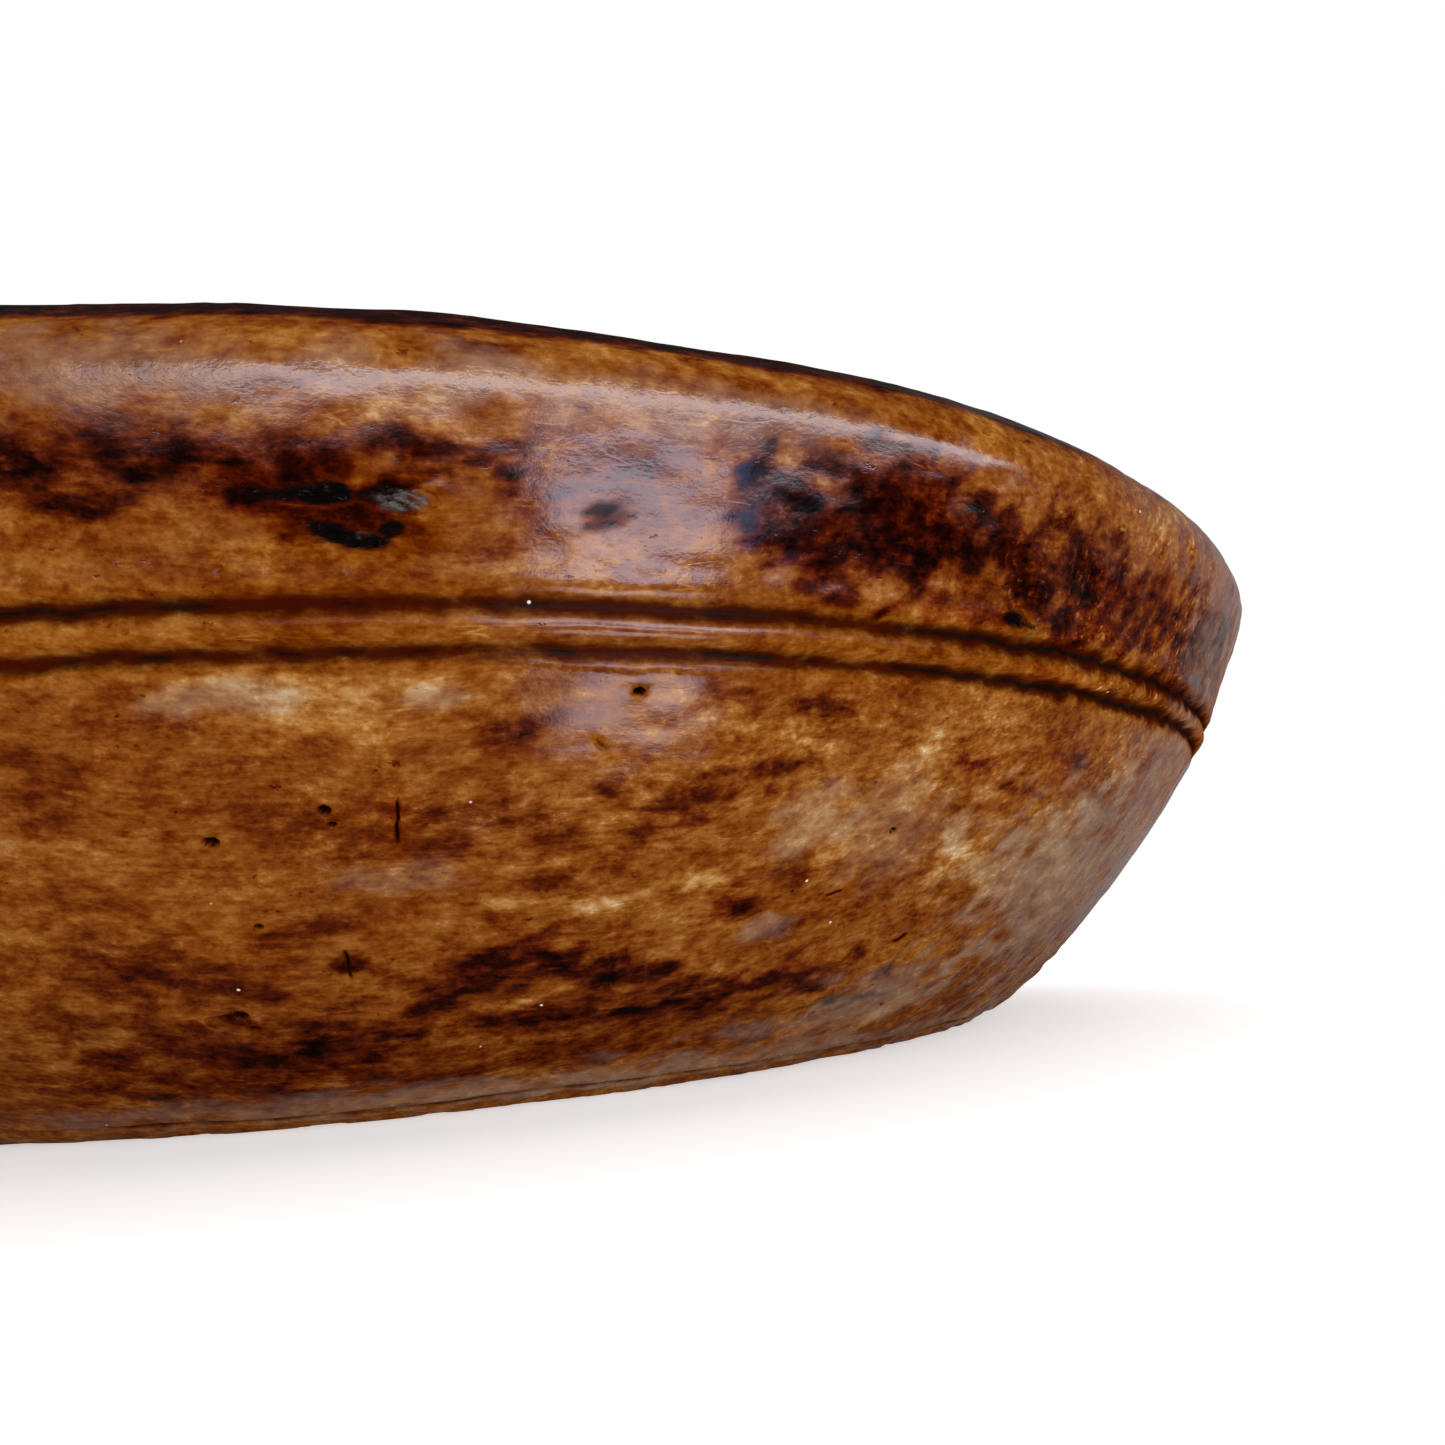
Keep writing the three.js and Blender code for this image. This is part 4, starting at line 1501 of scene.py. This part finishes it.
@dataclass(frozen=True)
class Card:
    """A glowing card near the floor that shows only as a highlight on polished wood."""

    name: str
    corners: tuple
    colour: Colour
    glow: float
    soft: float = 0.12

    def place(self) -> None:
        """Makes the card, fading out towards its edges."""
        mesh = bpy.data.meshes.new(self.name)
        mesh.from_pydata((np.array(self.corners) * MM).tolist(), [], [(0, 1, 2, 3)])
        unwrapped = mesh.uv_layers.new(name="card")
        for loop, spot in zip(unwrapped.data, ((0, 0), (1, 0), (1, 1), (0, 1))):
            loop.uv = spot
        card = bpy.data.objects.new(self.name, mesh)
        bpy.context.scene.collection.objects.link(card)
        material, bench = new_material(self.name)
        unwrap = bench.node("ShaderNodeTexCoord").outputs["UV"]
        spot = bench.node("ShaderNodeSeparateXYZ", None, {0: unwrap})
        fade = 1.0
        for axis in (0, 1):
            along = (Signal(bench, spot.outputs[axis]) - 0.5).size()
            fade = along.eased(0.5, 0.5 - self.soft) * fade
        glow = bench.node("ShaderNodeEmission", None,
                          {"Color": (*self.colour, 1.0), "Strength": fade * self.glow})
        output = bench.node("ShaderNodeOutputMaterial")
        bench.tree.links.new(glow.outputs[0], output.inputs[0])
        mesh.materials.append(material)
        card.visible_camera = card.visible_diffuse = False
        card.visible_shadow = card.visible_transmission = False


@dataclass(frozen=True)
class Studio:
    """Camera, pale floor, soft light from above and in front, and the cards that the wax mirrors."""

    eye: tuple = (0.0, -0.3404, 0.0234)
    yaw: float = 0.259
    pitch: float = 0.2091
    roll: float = 0.0745
    lens: float = 26.16
    floor_reach: float = 6.0
    floor_drop: float = 0.1 * MM
    bright_side: tuple = (0.787, 0.602, 0.13)
    cards: tuple = (
        Card("long_window", ((-330, -434, 2), (-700, -1350, 230), (1500, -1080, 200), (600, -345, 2)),
             (0.84, 0.93, 1.08), 7.2, 0.16),
        Card("near_window", ((22, -316, 4), (38, -441, 4), (176, -431, 4), (106, -307, 4)),
             (0.86, 0.90, 1.08), 6.5, 0.2),
        Card("low_window", ((16, -226, 3), (20, -270, 3), (78, -263, 3), (60, -224, 3)),
             (0.95, 0.93, 1.0), 4.6, 0.3),
        Card("blue_corner", ((98, -322, 6), (142, -402, 6), (190, -394, 6), (138, -314, 6)),
             (0.20, 0.48, 1.0), 3.2, 0.35),
    )

    def place_camera(self) -> None:
        """Stands the camera close in front of the bowl, turned right, up and a little askew."""
        ahead = np.array([math.sin(self.yaw), math.cos(self.yaw), 0.0])
        side = np.array([math.cos(self.yaw), -math.sin(self.yaw), 0.0])
        top = np.array([0.0, 0.0, 1.0])
        forward = math.sin(self.pitch) * top + math.cos(self.pitch) * ahead
        upright = math.cos(self.pitch) * top - math.sin(self.pitch) * ahead
        right = math.cos(self.roll) * side - math.sin(self.roll) * upright
        up = math.sin(self.roll) * side + math.cos(self.roll) * upright
        lens = bpy.data.cameras.new("camera")
        lens.lens = self.lens
        lens.sensor_width = 36.0
        lens.clip_start = 0.005
        camera = bpy.data.objects.new("camera", lens)
        camera.matrix_world = Matrix((*zip(right, up, -forward, self.eye), (0, 0, 0, 1)))
        bpy.context.scene.collection.objects.link(camera)
        bpy.context.scene.camera = camera

    def place_floor(self) -> None:
        """Lays the floor a hair's breadth under the foot."""
        reach = self.floor_reach
        mesh = bpy.data.meshes.new("floor")
        corners = [(x, y, -self.floor_drop) for x, y in ((-reach, -reach), (reach, -reach),
                                                         (reach, reach), (-reach, reach))]
        mesh.from_pydata(corners, [], [(0, 1, 2, 3)])
        floor = bpy.data.objects.new("floor", mesh)
        bpy.context.scene.collection.objects.link(floor)
        mesh.materials.append(PlainFloor().material())
        floor.visible_glossy = False

    def place_light(self, name: str, spot: tuple, aim: tuple, size: tuple, power: float,
                    glossy: bool, colour: Colour = (1.0, 1.0, 1.0)) -> None:
        """Hangs a softbox.

        Args:
            name: Its name.
            spot: Where it hangs.
            aim: What it points at.
            size: Its width and height.
            power: Its power in watts.
            glossy: Whether polished wood mirrors it.
            colour: Its colour.
        """
        lamp = bpy.data.lights.new(name, "AREA")
        lamp.shape = "RECTANGLE"
        lamp.size, lamp.size_y = size
        lamp.energy = power
        lamp.color = colour
        box = bpy.data.objects.new(name, lamp)
        away = np.array(spot) - np.array(aim)
        away /= np.linalg.norm(away)
        side = np.cross((0.0, 1.0, 0.0) if abs(away[2]) > 0.9 else (0.0, 0.0, 1.0), away)
        side /= np.linalg.norm(side)
        up = np.cross(away, side)
        box.matrix_world = Matrix((*zip(side, up, away, spot), (0, 0, 0, 1)))
        box.visible_glossy = glossy
        box.visible_camera = False
        bpy.context.scene.collection.objects.link(box)

    def place_world(self) -> None:
        """Surrounds the scene: white to the eye, soft grey to the wood, dim to its polish.

        The polish mirrors one soft bright lobe, low on the right behind the bowl.
        """
        world = bpy.data.worlds.new("studio")
        bpy.context.scene.world = world
        world.use_nodes = True
        bench = Bench(world.node_tree)
        path = bench.node("ShaderNodeLightPath")
        ahead = bench.node("ShaderNodeTexCoord").outputs["Generated"]
        towards = bench.node("ShaderNodeVectorMath", {"operation": "DOT_PRODUCT"},
                             {0: ahead, 1: self.bright_side}).outputs["Value"]
        lobe = Signal(bench, towards).eased(0.55, 1.0)
        height = Signal(bench, bench.node("ShaderNodeSeparateXYZ", None, {0: ahead}).outputs[2])
        polish = 0.02 + 0.32 * lobe * height.eased(-0.5, 0.1) * height.eased(0.75, 0.2)
        white, cool = (1.0, 1.0, 1.0, 1.0), (0.93, 0.93, 1.0, 1.0)
        soft, mirrored, backdrop = (
            bench.node("ShaderNodeBackground", None, {"Color": colour, "Strength": strength}).outputs[0]
            for colour, strength in ((white, 0.42), (cool, polish), (white, 1.0)))
        waxed = bench.node("ShaderNodeMixShader", None,
                           {0: path.outputs["Is Glossy Ray"], 1: soft, 2: mirrored})
        seen = bench.node("ShaderNodeMixShader", None,
                          {0: path.outputs["Is Camera Ray"], 1: waxed.outputs[0], 2: backdrop})
        output = bench.node("ShaderNodeOutputWorld")
        bench.tree.links.new(seen.outputs[0], output.inputs[0])

    def build(self) -> None:
        """Sets up the whole studio."""
        self.place_camera()
        self.place_floor()
        self.place_world()
        self.place_light("overhead", (0.1, 0.0, 1.5), (0, 0, 0), (2.4, 2.4), 20.0, False)
        self.place_light("front", (0.25, -1.5, 0.35), (0, 0, 0.05), (2.2, 0.9), 12.0, False,
                         (1.0, 0.97, 0.93))
        self.place_light("side", (-1.2, 0.5, 1.1), (0, 0, 0.05), (0.6, 0.6), 4.0, True)
        for card in self.cards:
            card.place()
        bpy.context.scene.view_settings.view_transform = "Standard"


# ---------------------------------------------------------------- the pieces together


@dataclass
class FeedBowl:
    """The bowl with its dead knots, each a piece of its own that rides on the bowl's body."""

    wall: Wall
    paint: Paint
    body: str = "root"
    core_half: tuple = (3.2, 1.55)
    core_rise: float = 0.2
    bark_tuck: float = 0.94

    def _core_outline(self, angle: np.ndarray) -> np.ndarray:
        """Edge of the knot's brown heart: a long oval, a little bent, as mm across and up.

        Args:
            angle: Directions from the middle, in radians.

        Returns:
            Points of the edge as mm across and up, one for each angle.
        """
        swell = 1 + 0.08 * np.cos(3 * angle + 1.2) + 0.05 * np.cos(4 * angle)
        across = self.core_half[0] * swell * np.cos(angle) + 0.2
        return np.stack([across, self.core_half[1] * swell * np.sin(angle) + self.core_rise], axis=1)

    @staticmethod
    def _knot_relief(across: np.ndarray, up: np.ndarray) -> np.ndarray:
        """Knot and bark together: crumbling, and sunk where they are black.

        Args:
            across: How far to the right of the middle each place lies, in mm.
            up: How far above the middle each place lies, in mm.

        Returns:
            One height for each place, in mm.
        """
        crumbs = np.sin(3.1 * across + 1.7 * up) * np.sin(2.3 * up - 1.9 * across + 1)
        bar = bell(np.hypot(0.42 * (across + 3.0), up - 2.7), 1.0)
        comma = bell(np.hypot(0.5 * (across + 1.9), up + 1.6), 0.9)
        arc = bell(np.hypot(0.35 * (across - 1.6), up + 2.8), 0.7)
        return 0.04 * crumbs - 0.55 * bar - 0.42 * comma - 0.3 * arc

    @staticmethod
    def _pitch_relief(across: np.ndarray, up: np.ndarray) -> np.ndarray:
        """Hard pitch in glossy lumps, its left end standing highest.

        Args:
            across: How far to the right of the middle each place lies, in mm.
            up: How far above the middle each place lies, in mm.

        Returns:
            One height for each place, in mm.
        """
        lumps = np.sin(4.6 * across + 2.2 * up + 0.5) * np.sin(3.7 * up - 1.5 * across)
        return 0.02 + 0.09 * lumps + 0.12 * bell(np.hypot(across + 1.3, up), 0.8)

    @staticmethod
    def _pin_relief(across: np.ndarray, up: np.ndarray) -> np.ndarray:
        """Small black knot, sunk and cracked round its middle.

        Args:
            across: How far to the right of the middle each place lies, in mm.
            up: How far above the middle each place lies, in mm.

        Returns:
            One height for each place, in mm.
        """
        away = np.hypot(across, 1.5 * up)
        return -0.6 + 0.15 * np.cos(3.4 * away) + 0.12 * np.sin(2.8 * across - 3.3 * up)

    def build(self) -> list[bpy.types.Object]:
        """Makes and finishes all the pieces, bowl first.

        Returns:
            The pieces.
        """
        wall, paint = self.wall, self.paint
        names = ("knot_wood", "black_bark", "hard_pitch")
        heart, bark, pitch = (WaxedWood(name).material() for name in names)
        inlays = (
            (Inlay("knot_heart", wall, wall.knot, self._core_outline, self._knot_relief, 5.6, paint,
                   proud=0.06), "rim_knot", "knot_wood", heart),
            (Inlay("knot_bark_ring", wall, wall.knot, wall.knot_outline, self._knot_relief, 5.9, paint,
                   inner=self._bark_inside), "knot_bark", "black_bark", bark),
            (Inlay("knot_pitch", wall, wall.pitch, wall.pitch_outline, self._pitch_relief, 2.7, paint,
                   top_rows=18, proud=0.07), "knot_filler", "hard_pitch", pitch),
            (Inlay("small_knot", wall, wall.pin_knot, wall.pin_outline, self._pin_relief, 4.2, paint,
                   top_rows=18), "pin_knot", "black_bark", bark),
        )
        bowl = TurnedBowl(wall, paint).build()
        self._finish(bowl, "bowl_body", WaxedWood("waxed_wood").material())
        pieces = [bowl]
        for inlay, node, slot, material in inlays:
            piece = inlay.build()
            self._finish(piece, node, material)
            pieces.append(piece)
        return pieces

    def _bark_inside(self, angle: np.ndarray) -> np.ndarray:
        """Inner edge of the bark, just under the heart's edge."""
        return self._core_outline(angle) * self.bark_tuck

    def _finish(self, piece: bpy.types.Object, node: str,
                material: bpy.types.Material) -> None:
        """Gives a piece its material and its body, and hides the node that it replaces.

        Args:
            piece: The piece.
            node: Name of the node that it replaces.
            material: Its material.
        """
        piece.data.materials.append(material)
        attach(piece, self.body)
        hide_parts(node)


def main() -> None:
    """Sets up the studio, builds the bowl and its knots, and reports each piece."""
    logging.basicConfig(level=logging.INFO, format="%(message)s")
    Studio().build()
    for piece in FeedBowl(Wall(Section()), Paint()).build():
        triangles = sum(len(face.vertices) - 2 for face in piece.data.polygons)
        logging.info("%s: %d triangles", piece.name, triangles)


if __name__ == "__main__":
    main()
